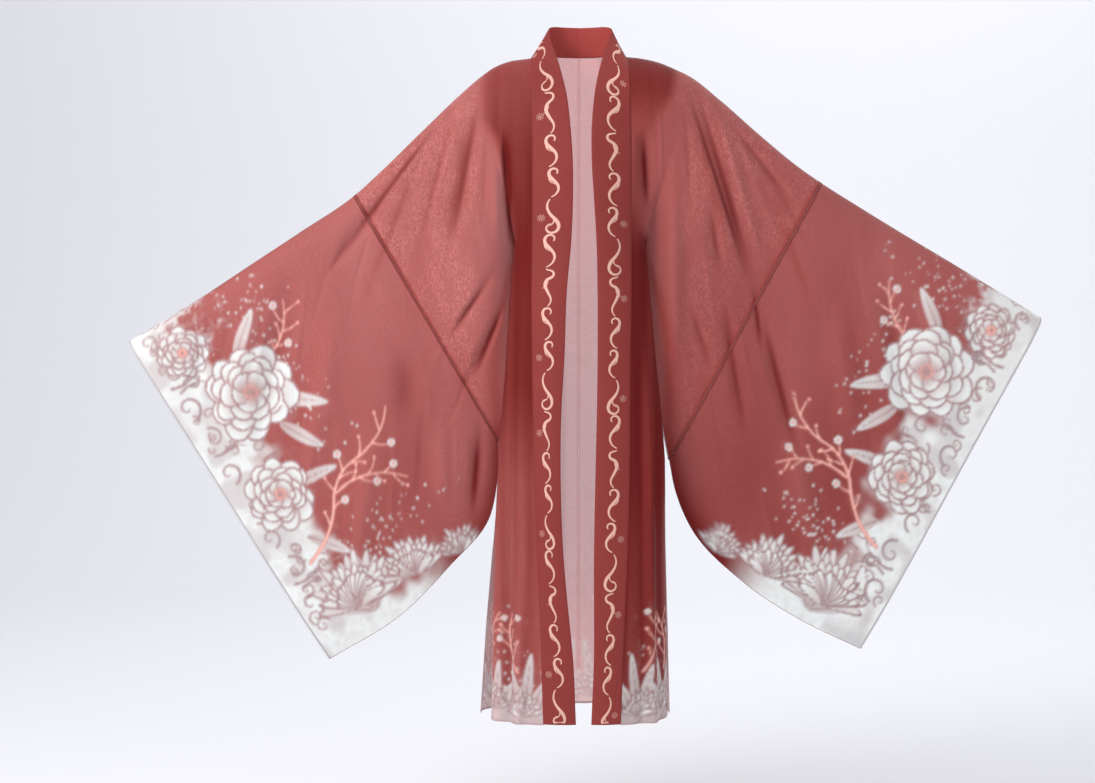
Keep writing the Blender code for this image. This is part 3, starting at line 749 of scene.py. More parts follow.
def outer_grids(side):
    """Points of the outer sleeve, front and back, rows going down."""
    arm = ridge_part(side, SEAM_ROW[side], len(RIDGE[side]) - 1)
    low = [(x, 0, z) for _, x, z in BOTTOM[side]]
    marks = [mark for mark, _, _ in BOTTOM[side]]
    curve = flowing(low)
    run = lengths(curve)
    knots = [np.interp(z, curve[::-1, 2], run[::-1]) / run[-1] for _, _, z in low]
    knots[0], knots[-1] = 0.0, 1.0
    fractions = down_fractions(OUTER_DOWN_CELLS)
    across = outer_fractions()
    tops = along(arm, across)
    bottoms = along(curve, np.interp(across, marks, knots))
    step = seam_step(side, CLOTH_STEP)
    made = {}
    for layer in LAYERS:
        columns = []
        for u, top, bottom in zip(across, tops, bottoms):
            column = along(hang(layer, top, bottom, u), fractions)
            columns.append(column + step * (1 - u) ** 6)
        points = np.stack(columns, axis=1)
        fade = smooth(fractions / DOWN_FADE) * smooth((1 - fractions) / DOWN_FADE)
        made[layer] = folded(side, layer, points, fade[:, None] * np.ones(len(across)))
    return made


def over_top(front, back):
    """Front rows from the lower edge up, then back rows down, sharing the top fold."""
    return np.concatenate((front[::-1], back[1:]))


# Mesh making


def grid_faces(rows, columns, keep=None):
    """Faces of a grid of points, row after row."""
    number = np.arange(rows * columns).reshape(rows, columns)
    quads = np.stack((number[:-1, :-1], number[:-1, 1:], number[1:, 1:], number[1:, :-1]), -1)
    return quads.reshape(-1, 4) if keep is None else quads[keep]


def tube_faces(rows, columns):
    """Faces of a closed tube with an even number of points round it, and of its two ends."""
    number = np.arange(rows * columns).reshape(rows, columns)
    sides = grid_faces(rows, columns)
    wrap = np.stack((number[:-1, -1], number[:-1, 0], number[1:, 0], number[1:, -1]), -1)
    cells = np.arange(columns // 2 - 1)
    caps = []
    for ring, turn in ((number[0], 1), (number[-1], -1)):
        cap = np.stack((ring[cells], ring[-1 - cells], ring[-2 - cells], ring[cells + 1]), -1)
        caps.append(cap[:, ::turn])
    return np.concatenate((sides, wrap, *caps))


def add_piece(name, points, quads, material, turn=False):
    """Object from points in metres and four-sided faces."""
    quads = quads[:, ::-1] if turn else quads
    used, numbers = np.unique(quads, return_inverse=True)
    points, quads = points[used], numbers.reshape(quads.shape)
    mesh = bpy.data.meshes.new(name)
    mesh.vertices.add(len(points))
    mesh.vertices.foreach_set("co", points.astype(np.float32).ravel())
    mesh.loops.add(quads.size)
    mesh.loops.foreach_set("vertex_index", quads.astype(np.int32).ravel())
    mesh.polygons.add(len(quads))
    mesh.polygons.foreach_set("loop_start", np.arange(0, quads.size, 4, dtype=np.int32))
    mesh.polygons.foreach_set("use_smooth", np.ones(len(quads), dtype=bool))
    mesh.update(calc_edges=True)
    mesh.validate()
    mesh.materials.append(material)
    piece = bpy.data.objects.new(name, mesh)
    bpy.context.scene.collection.objects.link(piece)
    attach(piece, "root")
    return piece, used


def add_values(piece, used, **fields):
    """Store one number at each point under each name."""
    for name, values in fields.items():
        store = piece.data.attributes.new(name, "FLOAT", "POINT")
        store.data.foreach_set("value", values.ravel()[used].astype(np.float32))


def add_flat_map(piece, used, across, down):
    """Store the flat place of each point, in metres, as the piece's map."""
    places = np.stack((across.ravel()[used], down.ravel()[used]), axis=1) * MM
    layer = piece.data.uv_layers.new(name=FLAT_MAP)
    corners = np.zeros(len(piece.data.loops), dtype=np.int32)
    piece.data.loops.foreach_get("vertex_index", corners)
    layer.data.foreach_set("uv", places[corners].astype(np.float32).ravel())


def flat_places(points):
    """Distance across and down a grid of points in millimetres, measured on the cloth."""
    across = np.linalg.norm(np.diff(points, axis=1), axis=2)
    across = np.concatenate((np.zeros((len(points), 1)), np.cumsum(across, axis=1)), axis=1)
    down = np.linalg.norm(np.diff(points, axis=0), axis=2)
    down = np.concatenate((np.zeros((1, points.shape[1])), np.cumsum(down, axis=0)))
    return across, down


# Print, painted at the points of the cloth in flat millimetres


INKS = ("white_ink", "grey_ink", "coral_ink")


class Print:
    """Three inks laid on a piece of cloth, each from 0 to 1 at every point."""

    def __init__(self, across, down, seed):
        self.across = across
        self.down = down
        self.inks = {name: np.zeros_like(across) for name in INKS}
        self.draws = np.random.RandomState(seed)

    def near(self, x, y, reach):
        """Points within reach of a place."""
        return np.nonzero((np.abs(self.across - x) < reach) & (np.abs(self.down - y) < reach))

    def lay(self, spots, cover, **tones):
        """Cover points with inks, hiding what is under them."""
        for name, values in self.inks.items():
            values[spots] = values[spots] * (1 - cover) + cover * tones.get(name, 0.0)

    def petal(self, x, y, angle, length, width, base, tip, ink="white_ink", bend=0.0, point=0.0):
        """Petal or leaf from its root, lighter at its tip."""
        spots = self.near(x, y, length * 1.1 + width)
        dx, dy = self.across[spots] - x, self.down[spots] - y
        ahead = (dx * math.cos(angle) + dy * math.sin(angle)) / length
        aside = (dy * math.cos(angle) - dx * math.sin(angle)) / width
        aside = aside - bend * ahead * ahead
        inside = np.clip(ahead, 0, 1)
        outline = np.sqrt(np.maximum(0, 1 - (2 * inside - 1) ** 2)) * (1 - point * inside)
        outline = outline * (0.62 + 0.38 * inside)
        cover = smooth((outline - np.abs(aside)) * width / EDGE_SOFTNESS + 0.4)
        cover = cover * (ahead > 0) * (ahead < 1)
        self.lay(spots, cover, **{ink: base + (tip - base) * inside ** 1.4})

    def disc(self, x, y, radius, ink, tone=1.0):
        """Round dot."""
        spots = self.near(x, y, radius + 3)
        far = np.hypot(self.across[spots] - x, self.down[spots] - y)
        self.lay(spots, smooth((radius - far) / EDGE_SOFTNESS + 0.5), **{ink: tone})

    def stroke(self, line, wide, narrow, ink, tone=1.0):
        """Brush line through points, wide at its start and narrow at its end."""
        line = np.asarray(line, float)
        low, high = line.min(axis=0) - wide - 4, line.max(axis=0) + wide + 4
        spots = np.nonzero(
            (self.across > low[0]) & (self.across < high[0])
            & (self.down > low[1]) & (self.down < high[1]))
        x, y = self.across[spots], self.down[spots]
        best = np.full(x.shape, -9.0)
        widths = np.linspace(wide, narrow, len(line)) / 2
        for first, last, w0, w1 in zip(line[:-1], line[1:], widths[:-1], widths[1:]):
            run = last - first
            share = ((x - first[0]) * run[0] + (y - first[1]) * run[1]) / max(run @ run, 1e-9)
            share = np.clip(share, 0, 1)
            far = np.hypot(x - first[0] - share * run[0], y - first[1] - share * run[1])
            best = np.maximum(best, w0 + (w1 - w0) * share - far)
        self.lay(spots, smooth(best / EDGE_SOFTNESS + 0.5), **{ink: tone})

    def mist(self, cover, tone=0.9):
        """Pale ground over all points, as thick as cover says."""
        self.lay(np.nonzero(cover > 0), cover[cover > 0], white_ink=tone)

    def dried(self):
        """Inks after they have run a little into the cloth around them."""
        for values in self.inks.values():
            for spread in (values, values.T):
                spread[1:-1] = (spread[:-2] + 4 * spread[1:-1] + spread[2:]) / 6
        return self.inks


def turned(x, y, reach, angle):
    """Place at a distance and angle from another."""
    return x + reach * math.cos(angle), y + reach * math.sin(angle)


def bowed(start, end, bow, steps=14):
    """Line between two places, bowed to one side."""
    start, end = np.array(start, float), np.array(end, float)
    share = np.linspace(0, 1, steps)[:, None]
    run = end - start
    aside = np.array((-run[1], run[0]))
    return start + run * share + aside * bow * 4 * share * (1 - share)


def curl(x, y, radius, start, turns, way=1, steps=30, end_radius=0.12):
    """Spiral line that winds in to its middle."""
    share = np.linspace(0, 1, steps)
    reach = radius * (1 - (1 - end_radius) * share ** 0.85)
    angle = start + way * turns * 2 * math.pi * share
    return np.stack((x + reach * np.cos(angle), y + reach * np.sin(angle)), axis=1)


# Rings of a peony: petals, reach and width as shares of its radius, and tone at the root
PEONY_RINGS = (
    (10, 1.0, 0.36, 0.42), (9, 0.80, 0.33, 0.40), (7, 0.60, 0.30, 0.36), (6, 0.40, 0.26, 0.34),
)


def peony(paint, x, y, radius, seed):
    """Full blossom of four rings of petals with stamens."""
    draws = np.random.RandomState(seed)
    for number, (count, reach, width, base) in enumerate(PEONY_RINGS):
        for petal in range(count):
            angle = 2 * math.pi * (petal + 0.5 * (number % 2)) / count + draws.uniform(-0.14, 0.14)
            length = radius * reach * draws.uniform(0.90, 1.06)
            across, bend = radius * width * draws.uniform(0.85, 1.1), draws.uniform(-0.25, 0.25)
            paint.petal(x, y, angle, length + 3, across + 3, 0.42, 0.42, "grey_ink", bend)
            paint.petal(x, y, angle, length, across, base - 0.08, 1.0, bend=bend)
    for petal in range(9):
        place = turned(x, y, radius * 0.13, petal * 0.7)
        paint.disc(*place, 2.6, "coral_ink", 0.9)


def plum_blossom(paint, x, y, radius, seed):
    """Small blossom of five round petals."""
    lean = np.random.RandomState(seed).uniform(0, 2)
    for petal in range(5):
        angle = lean + petal * 2 * math.pi / 5
        paint.petal(x, y, angle, radius, radius * 0.62, 0.62, 1.0)
    paint.disc(x, y, radius * 0.34, "coral_ink")


def fan_flower(paint, x, y, radius, middle, spread, count, seed):
    """Blossom of many narrow petals seen from the side."""
    draws = np.random.RandomState(seed)
    for ring, (reach, tone) in enumerate(((1.0, 0.80), (0.80, 0.90), (0.58, 1.0))):
        for petal in range(count):
            share = (petal + 0.5 * (ring % 2)) / (count - 1) * 2 - 1
            angle = middle + share * spread * (1 - 0.12 * ring) + draws.uniform(-0.05, 0.05)
            length = radius * reach * draws.uniform(0.86, 1.08) * (1 - 0.18 * abs(share))
            width, bend = radius * 0.13, 0.9 * share
            paint.petal(x, y, angle, length + 4, width + 2.8, 0.4, 0.4, "grey_ink", bend, 0.35)
            paint.petal(x, y, angle, length, width, 0.62, tone, bend=bend, point=0.35)


def leaf(paint, x, y, angle, length, width, tone=0.75, bend=0.3):
    """Pointed leaf with a grey rib."""
    paint.petal(x, y, angle, length, width, tone * 0.6, tone, bend=bend, point=0.55)
    rib = []
    for share in np.linspace(0.04, 0.86, 8):
        ahead, aside = share * length, bend * share * share * width
        rib.append((x + ahead * math.cos(angle) - aside * math.sin(angle),
                    y + ahead * math.sin(angle) + aside * math.cos(angle)))
    paint.stroke(rib, 2.0, 0.8, "grey_ink", 0.6)


def cloud(paint, x, y, size, way, tone=0.6):
    """Cloud scroll of two curls and a long tail."""
    wide = max(2.8, size * 0.075)
    high = y + way * size * 0.5
    paint.stroke(curl(x, y, size * 0.42, -way * 1.5, 1.05, way), wide, 1.6, "grey_ink", tone)
    paint.stroke(curl(x + size * 0.5, high, size * 0.28, way * 2.6, 0.95, -way), wide * 0.8, 1.4,
                 "grey_ink", tone)
    tail = bowed((x - size * 0.1, high + way * size * 0.2),
                 (x + size * 0.9, high + way * size * 0.42), -0.16 * way)
    paint.stroke(tail, wide * 0.9, 1.2, "grey_ink", tone * 0.9)


def twig(paint, line, twigs, width, seed, blossom=8.0):
    """Coral branch with side twigs, buds and blossoms."""
    draws = np.random.RandomState(seed)
    line = np.asarray(line, float)
    paint.stroke(line, width, width * 0.45, "coral_ink")
    for number in range(twigs):
        at = int((0.18 + 0.74 * (number + 0.5) / twigs) * (len(line) - 1))
        run = line[min(at + 1, len(line) - 1)] - line[at - 1]
        lean = 0.75 if number % 2 else -0.75
        angle = math.atan2(run[1], run[0]) + lean + draws.uniform(-0.2, 0.2)
        end = turned(line[at][0], line[at][1], draws.uniform(24, 40), angle)
        shoot = bowed(line[at], end, draws.uniform(-0.12, 0.12))
        paint.stroke(shoot, width * 0.62, 1.6, "coral_ink")
        if number % 3 == 1:
            plum_blossom(paint, *end, blossom, seed + number)
        else:
            paint.disc(*end, 2.8, "coral_ink")


def seeds(paint, count, middle_x, middle_y, spread_x, spread_y, tone=0.9):
    """Scattered small dots, thicker near the middle."""
    xs = paint.draws.normal(middle_x, spread_x, count)
    ys = paint.draws.normal(middle_y, spread_y, count)
    for x, y, radius in zip(xs, ys, paint.draws.uniform(1.0, 2.6, count)):
        paint.disc(x, y, radius, "white_ink", tone)


# Angle that points up the cloth, and number of small curls at the cuff
UPWARDS = -1.57
CURLS = 26

# Leaves, in millimetres inwards from the cuff and down: place, angle, length, width, tone and bend
LEAVES = (
    (176, 262, 0.55, 112, 24, 0.85, 0.3), (166, 310, 1.15, 98, 21, 0.80, -0.4),
    (158, 160, -0.75, 104, 22, 0.82, 0.3), (112, 420, 0.15, 104, 20, 0.80, 0.3),
    (92, 520, 0.85, 92, 19, 0.80, 0.3),
)

# Parts of the long branch, then the twigs: start, end and bow
BRANCH = (
    ((70, 566), (176, 488), 0.10), ((176, 488), (250, 448), -0.10), ((250, 448), (356, 392), 0.12),
)
TWIGS = (((186, 484), (322, 530), -0.14), ((190, 196), (300, 112), 0.14))

# Peonies: place and radius
PEONIES = ((150, 226, 92), (92, 424, 68), (78, 92, 50))

# Leaves at the lower edge: lean and length
FLOOR_LEAVES = ((-0.95, 110), (-0.4, 138), (0.2, 124), (0.75, 96))

# Fan flowers: place, up from the lower edge, radius, angle, spread and petals
FANS = ((112, 34, 108, -1.35, 1.25, 15), (238, 20, 84, -1.5, 1.15, 13), (338, 12, 56, -1.55, 1.1, 11))

# Seeds: count, middle and spread
SEEDS = ((70, 232, 250, 28, 70), (70, 205, 590, 60, 26), (60, 200, 70, 56, 34))


def sleeve_print(inwards, down, tall, seed):
    """Print of one layer of an outer sleeve: inwards from the cuff and down from the top fold."""
    paint = Print(inwards, down, seed)
    up = tall - down
    wander = drift(inwards + 900, down + 900, 52, seed) + 0.5 * drift(inwards, down, 19, seed + 1)
    speck = drift(inwards + 500, down + 500, 6.5, seed + 2)
    cuff = smooth((142 + 38 * wander - inwards) / 66)
    low = smooth((84 + 30 * wander - up) / 52) * smooth((320 - inwards) / 120)
    corner = smooth((200 + 44 * wander - np.hypot(inwards, up * 0.9)) / 70)
    top = smooth((230 + 50 * wander - inwards - 0.60 * down) / 100) * smooth(speck * 2.2 + 0.2)
    ground = np.clip(np.maximum(np.maximum(cuff, low), corner), 0, 1)
    paint.mist(ground * (0.92 + 0.08 * speck), 1.0)
    paint.mist(np.clip(top * 0.8, 0, 1), 0.85)
    shade = smooth((drift(inwards + 70, down + 30, 30, seed + 3) + 0.1) * 1.5) * cuff
    paint.lay(np.nonzero(shade > 0), shade[shade > 0] * 0.62, white_ink=0.6, grey_ink=0.36)
    floor = float(tall.mean())
    for number in range(CURLS):
        place = paint.draws.uniform((12, 30), (96, floor - 20))
        line = curl(*place, paint.draws.uniform(8, 17), number * 1.3, 1.2, 1 if number % 2 else -1)
        paint.stroke(line, 3.0, 1.4, "grey_ink", 0.36)
    for number, down_at in enumerate(range(40, 700, 74)):
        size = 52 + 8 * (number % 3)
        cloud(paint, 30 + 10 * (number % 2), down_at, size, 1 if number % 2 else -1)
    for number, down_at in enumerate(range(84, 640, 118)):
        cloud(paint, 104, down_at, 46 + 8 * (number % 2), -1 if number % 2 else 1, 0.45)
    for row in LEAVES:
        leaf(paint, *row)
    branch = np.concatenate([
        bowed(start, end, bow)[number > 0:] for number, (start, end, bow) in enumerate(BRANCH)])
    twig(paint, branch, 9, 5.6, seed + 11)
    for number, (start, end, bow) in enumerate(TWIGS):
        twig(paint, bowed(start, end, bow, 18), 6, 4.2, seed + 12 + number)
    for number, row in enumerate(PEONIES):
        peony(paint, *row, seed + 20 + number)
    for share, reach in FLOOR_LEAVES:
        leaf(paint, 128, floor - 10, UPWARDS + share, reach, 17, 0.85, 0.5 * share)
    for number, (x, above, *shape) in enumerate(FANS):
        fan_flower(paint, x, floor - above, *shape, seed + 30 + number)
    for row in SEEDS:
        seeds(paint, *row)
    return paint.dried()


# Tufts along the hem: width of each, and the lean and length of its leaves
TUFT_WIDTH = 56
TUFT_LEAVES = ((-0.42, 104), (-0.12, 138), (0.2, 118), (0.5, 88))


def hem_print(across, up, wide, seed):
    """Print of one layer of a body panel along the hem: across the panel and up from the hem."""
    paint = Print(across, -up, seed)
    wander = drift(across + 300, up + 300, 36, seed) + 0.5 * drift(across, up, 14, seed + 1)
    low = smooth((44 + 24 * wander - up) / 34)
    side = smooth((34 + 16 * wander - (wide - across)) / 26) * smooth((235 + 30 * wander - up) / 60)
    paint.mist(np.maximum(low, side * 0.9) * 0.46, 0.86)
    shade = smooth((drift(across + 40, up + 60, 26, seed + 4) + 0.2) * 1.4) * low
    paint.lay(np.nonzero(shade > 0), shade[shade > 0] * 0.5, white_ink=0.42, grey_ink=0.5)
    span = float(wide.mean())
    tufts = max(2, int(span / TUFT_WIDTH))
    for number in range(tufts):
        middle = span * (number + 0.5) / tufts
        for lean, reach in TUFT_LEAVES:
            length = reach * (1 - 0.12 * (number % 2))
            leaf(paint, middle, 4, UPWARDS + lean, length, 19, 0.66, 1.4 * lean)
        low_at = -14 - 8 * (number % 2)
        fan_flower(paint, middle + 6, low_at, 50, UPWARDS, 1.2, 11, seed + number)
        sprig = bowed((middle + 8, -96), (middle + 30 - 52 * (number % 2), -206), 0.14, 16)
        twig(paint, sprig, 5, 3.6, seed + 50 + number, blossom=6.0)
    seeds(paint, 40, span / 2, -120, span / 3, 34, 0.7)
    return paint.dried()


# Shader groups and materials


FLAT_MAP = "flat_cloth"

# Threads of the weave, and the stretch of its slubs and of the watered lines over the flat map
THREADS = 900.0
SLUB_STRETCH = (900.0, 60.0, 1.0)
WATERED_STRETCH = (1.0, 0.55, 1.0)

# Painted highlights on the crinkles: how they wind, how sharp they are, and the patches that they lie
# in
FLECK_SQUIGGLE = 2.2
FLECK_SHARPNESS = 11.0
PATCH_SCALE = 14.0
PATCH_FROM = 0.33

# Cloth finish: strength of the painted crinkle highlights, gain of the painted glow on the inner back,
# cover of cloth in painted shade, depth of the weave
PAINTED_HIGHLIGHT_STRENGTH = 0.56
PAINTED_BACK_GLOW_GAIN = 1.2
PAINTED_SHADE_COVER = 0.985
WEAVE_DEPTH = 0.0004


def socket(group, name, way, kind="NodeSocketFloat", default=None):
    """Named socket of a shader group."""
    made = group.interface.new_socket(name=name, in_out=way, socket_type=kind)
    if default is not None:
        made.default_value = default


def new_group(name):
    """Empty shader group with its input and output nodes."""
    group = bpy.data.node_groups.new(name, "ShaderNodeTree")
    return group, group.nodes.new("NodeGroupInput"), group.nodes.new("NodeGroupOutput")


def add_node(tree, kind, **settings):
    """Shader node with its settings."""
    node = tree.nodes.new(kind)
    for name, value in settings.items():
        setattr(node, name, value)
    return node


def plugged(tree, node, name, value):
    """Put a link or a plain value into a named input."""
    if isinstance(value, bpy.types.NodeSocket):
        tree.links.new(value, node.inputs[name])
    else:
        node.inputs[name].default_value = value


def computed(tree, operation, first, second, clamp=False):
    """Output of a math node on two links or values."""
    node = add_node(tree, "ShaderNodeMath", operation=operation, use_clamp=clamp)
    plugged(tree, node, 0, first)
    plugged(tree, node, 1, second)
    return node.outputs[0]


def worked(tree, value, *steps):
    """Value taken through math nodes, one after another, each an operation and a number."""
    for operation, number in steps:
        value = computed(tree, operation, value, number)
    return value


def blended(tree, share, first, second, kind="RGBA"):
    """Output of a mix node."""
    node = add_node(tree, "ShaderNodeMix", data_type=kind)
    names = {"RGBA": ("A_Color", "B_Color", 2), "FLOAT": ("A_Float", "B_Float", 0)}
    first_name, second_name, output = names[kind]
    sockets = {item.identifier: item for item in node.inputs}
    for name, value in (("Factor_Float", share), (first_name, first), (second_name, second)):
        if isinstance(value, bpy.types.NodeSocket):
            tree.links.new(value, sockets[name])
        else:
            sockets[name].default_value = value
    return node.outputs[output]


def flat_place(group, stretch=None):
    """Place on the flat cloth, stretched where that is asked for."""
    place = add_node(group, "ShaderNodeUVMap", uv_map=FLAT_MAP).outputs[0]
    if stretch is None:
        return place
    mapping = add_node(group, "ShaderNodeMapping")
    plugged(group, mapping, "Vector", place)
    plugged(group, mapping, "Scale", stretch)
    return mapping.outputs[0]


def noise_on(group, place, scale, detail=2.0, distortion=0.0):
    """Smooth noise over a place."""
    node = add_node(group, "ShaderNodeTexNoise")
    plugged(group, node, "Vector", place)
    plugged(group, node, "Scale", scale)
    plugged(group, node, "Detail", detail)
    plugged(group, node, "Distortion", distortion)
    return node.outputs["Fac"]


def weave_group():
    """Fine plain weave with uneven threads: height and tone from the flat map."""
    group, enter, leave = new_group("sheer_weave")
    socket(group, "Threads", "INPUT", default=THREADS)
    socket(group, "Unevenness", "INPUT", default=0.6)
    socket(group, "Height", "OUTPUT")
    socket(group, "Tone", "OUTPUT")
    place = flat_place(group)
    parts = []
    for direction in ("X", "Y"):
        wave = add_node(group, "ShaderNodeTexWave", bands_direction=direction)
        plugged(group, wave, "Vector", place)
        plugged(group, wave, "Scale", enter.outputs["Threads"])
        plugged(group, wave, "Distortion", enter.outputs["Unevenness"])
        plugged(group, wave, "Detail", 1.0)
        parts.append(wave.outputs["Fac"])
    slub = noise_on(group, flat_place(group, SLUB_STRETCH), 1.0)
    height = computed(group, "MULTIPLY", *parts)
    height = blended(group, 0.5, height, slub, "FLOAT")
    group.links.new(height, leave.inputs["Height"])
    tone = computed(group, "SUBTRACT", slub, 0.5)
    group.links.new(tone, leave.inputs["Tone"])
    return group


def watered_group():
    """Watered lines that two sheer layers make over each other."""
    group, enter, leave = new_group("watered_lines")
    socket(group, "Line Scale", "INPUT", default=26.0)
    socket(group, "Wander", "INPUT", default=9.0)
    socket(group, "Lines", "OUTPUT")
    noise = noise_on(group, flat_place(group, WATERED_STRETCH), enter.outputs["Wander"], 1.0)
    rings = computed(group, "MULTIPLY", noise, enter.outputs["Line Scale"])
    rings = worked(group, rings, ("SINE", 0.0), ("MULTIPLY", 0.5), ("ADD", 0.5))
    group.links.new(rings, leave.inputs["Lines"])
    return group


def painted_highlight_group():
    """Painted highlights: short bright squiggles where crinkled sheer cloth catches the light."""
    group, enter, leave = new_group("crinkle_flecks")
    socket(group, "Fleck Scale", "INPUT", default=120.0)
    socket(group, "Flecks", "OUTPUT")
    place = flat_place(group)
    noise = noise_on(group, place, enter.outputs["Fleck Scale"], 1.0, FLECK_SQUIGGLE)
    ridge = worked(group, noise, ("SUBTRACT", 0.5), ("ABSOLUTE", 0.0), ("MULTIPLY", -FLECK_SHARPNESS))
    ridge = computed(group, "ADD", ridge, 1.0, clamp=True)
    spots = computed(group, "SUBTRACT", noise_on(group, place, PATCH_SCALE), PATCH_FROM)
    spots = computed(group, "MULTIPLY", spots, 5.0, clamp=True)
    group.links.new(computed(group, "MULTIPLY", ridge, spots), leave.inputs["Flecks"])
    return group


def dye_group():
    """Soft unevenness of the dye, dark and light clouds over the cloth."""
    group, enter, leave = new_group("dye_clouds")
    socket(group, "Cloud Scale", "INPUT", default=7.0)
    socket(group, "Clouds", "OUTPUT")
    clouds = noise_on(group, flat_place(group), enter.outputs["Cloud Scale"], 4.0)
    group.links.new(clouds, leave.inputs["Clouds"])
    return group


def ink_group():
    """Inks of the print laid over the colour of the cloth, and how much they cover."""
    group, enter, leave = new_group("printed_inks")
    for name in ("Cloth", "White", "Grey", "Coral"):
        socket(group, name, "INPUT", "NodeSocketColor")
    socket(group, "Colour", "OUTPUT", "NodeSocketColor")
    socket(group, "Cover", "OUTPUT")
    colour, cover = enter.outputs["Cloth"], None
    for ink, name in zip(INKS, ("White", "Grey", "Coral")):
        amount = stored(group, ink)
        colour = blended(group, amount, colour, enter.outputs[name])
        cover = amount if cover is None else computed(group, "ADD", cover, amount, clamp=True)
    group.links.new(colour, leave.inputs["Colour"])
    group.links.new(cover, leave.inputs["Cover"])
    return group


GROUP_MAKERS = {
    "printed_inks": ink_group,
    "sheer_weave": weave_group,
    "watered_lines": watered_group,
    "dye_clouds": dye_group,
    "crinkle_flecks": painted_highlight_group,
}


def placed_group(tree, name, **values):
    """Shader group placed in a material with its own values."""
    group = bpy.data.node_groups.get(name) or GROUP_MAKERS[name]()
    node = add_node(tree, "ShaderNodeGroup", node_tree=group)
    for key, value in values.items():
        plugged(tree, node, key.replace("_", " "), value)
    return node.outputs


def new_material(name):
    """Material with its shader, and nothing linked yet."""
    material = bpy.data.materials.new(name)
    material.use_nodes = True
    return material, material.node_tree, material.node_tree.nodes["Principled BSDF"]


def stored(tree, name):
    """Number stored at the points of a piece."""
    return add_node(tree, "ShaderNodeAttribute", attribute_name=name).outputs["Fac"]


def shaded(colour, share):
    """Colour made lighter or darker."""
    return tuple(min(1.0, part * share) for part in colour[:3]) + (1.0,)


def sheer_material(name, colour, cover, watered, robe, printed=True):
    """Sheer cloth: dye, watered lines, weave and a painted glow, and on printed cloth painted
    highlights, painted shade, a painted glow on the inner back and inks; on other cloth, painted light
    inside the neck.
    """
    material, tree, shader = new_material(name)
    dye = placed_group(tree, "dye_clouds", Cloud_Scale=6.0)["Clouds"]
    lines = placed_group(tree, "watered_lines", Line_Scale=480.0, Wander=5.0)["Lines"]
    weave = placed_group(tree, "sheer_weave", Threads=THREADS, Unevenness=0.6)
    base = blended(tree, dye, shaded(colour, 0.90), shaded(colour, 1.10))
    lines = computed(tree, "MULTIPLY", lines, watered)
    base = blended(tree, lines, base, shaded(colour, 0.70))
    cast = computed(tree, "ADD", cover, computed(tree, "MULTIPLY", weave["Tone"], 0.12))
    alpha = computed(tree, "ADD", cast, computed(tree, "MULTIPLY", lines, 0.08), clamp=True)
    if printed:
        # Painted highlights: bright crinkle squiggles where the cloth catches the light
        flecks = placed_group(tree, "crinkle_flecks", Fleck_Scale=82.0)["Flecks"]
        flecks = worked(
            tree, flecks, ("MULTIPLY", stored(tree, "crinkle")), ("MULTIPLY", PAINTED_HIGHLIGHT_STRENGTH))
        base = blended(tree, flecks, base, (*robe.painted_highlight_colour, 1))
        # Painted shade: the stored shade turns the colour towards the shade colour and makes the cloth
        # more opaque
        tone = stored(tree, "cloth_tone")
        base = blended(tree, tone, base, (*robe.painted_shade_colour, 1))
        alpha = blended(tree, tone, alpha, PAINTED_SHADE_COVER, "FLOAT")
        inks = placed_group(
            tree, "printed_inks", Cloth=base, White=(*robe.white_ink, 1), Grey=(*robe.grey_ink, 1),
            Coral=(*robe.coral_ink, 1))
        base = inks["Colour"]
        alpha = blended(tree, inks["Cover"], alpha, robe.print_cover, "FLOAT")
        # Painted glow: the inner face of the back panel gives off more light near the centre back
        inside = add_node(tree, "ShaderNodeNewGeometry").outputs["Backfacing"]
        bright = worked(
            tree, stored(tree, "backlit"), ("MULTIPLY", inside), ("MULTIPLY", PAINTED_BACK_GLOW_GAIN),
            ("ADD", 1.0))
        scaled = add_node(tree, "ShaderNodeVectorMath", operation="SCALE")
        plugged(tree, scaled, 0, base)
        plugged(tree, scaled, "Scale", bright)
        through = scaled.outputs[0]
    else:
        # Painted light: the inner face of the neckband is made lighter at the back of the neck
        base = blended(tree, stored(tree, "neck_light"), base, shaded(colour, 1.5))
        through = base
    bump = add_node(tree, "ShaderNodeBump")
    plugged(tree, bump, "Strength", 0.25)
    plugged(tree, bump, "Distance", WEAVE_DEPTH)
    plugged(tree, bump, "Height", weave["Height"])
    # The emission is a painted glow in the cloth's colour, standing in for light that comes through it
    for name, value in (
            ("Base Color", base), ("Emission Color", through), ("Alpha", alpha),
            ("Normal", bump.outputs[0]), ("Emission Strength", robe.painted_glow),
            ("Roughness", robe.roughness), ("Specular IOR Level", 0.12),
            ("Sheen Weight", robe.sheen), ("Sheen Roughness", 0.4)):
        plugged(tree, shader, name, value)
    return material


def plain_material(name, colour, robe, cover=1.0):
    """Seam, hem and thread finish with a fine weave."""
    material, tree, shader = new_material(name)
    weave = placed_group(tree, "sheer_weave", Threads=THREADS, Unevenness=0.6)
    tone = computed(tree, "ADD", weave["Tone"], 0.5, clamp=True)
    base = blended(tree, tone, shaded(colour, 0.75), shaded(colour, 1.15))
    for name, value in (
            ("Base Color", base), ("Alpha", cover), ("Roughness", robe.roughness),
            ("Sheen Weight", robe.sheen)):
        plugged(tree, shader, name, value)
    return material


# Pieces of the robe


# Points and objects of the cloths, for the trimmings that lie on them
BUILT = {}

# Strength of the watered lines on the body, the sleeves and the neckband
BODY_WATERED = 0.25
SLEEVE_WATERED = 0.34
BAND_WATERED = 0.1

# Weight of the painted highlights on the crinkles of the outer sleeves
SLEEVE_PAINTED_HIGHLIGHT = 0.12


def blank_inks(shape):
    """Blank inks for a grid of points."""
    return {name: np.zeros(shape) for name in INKS}


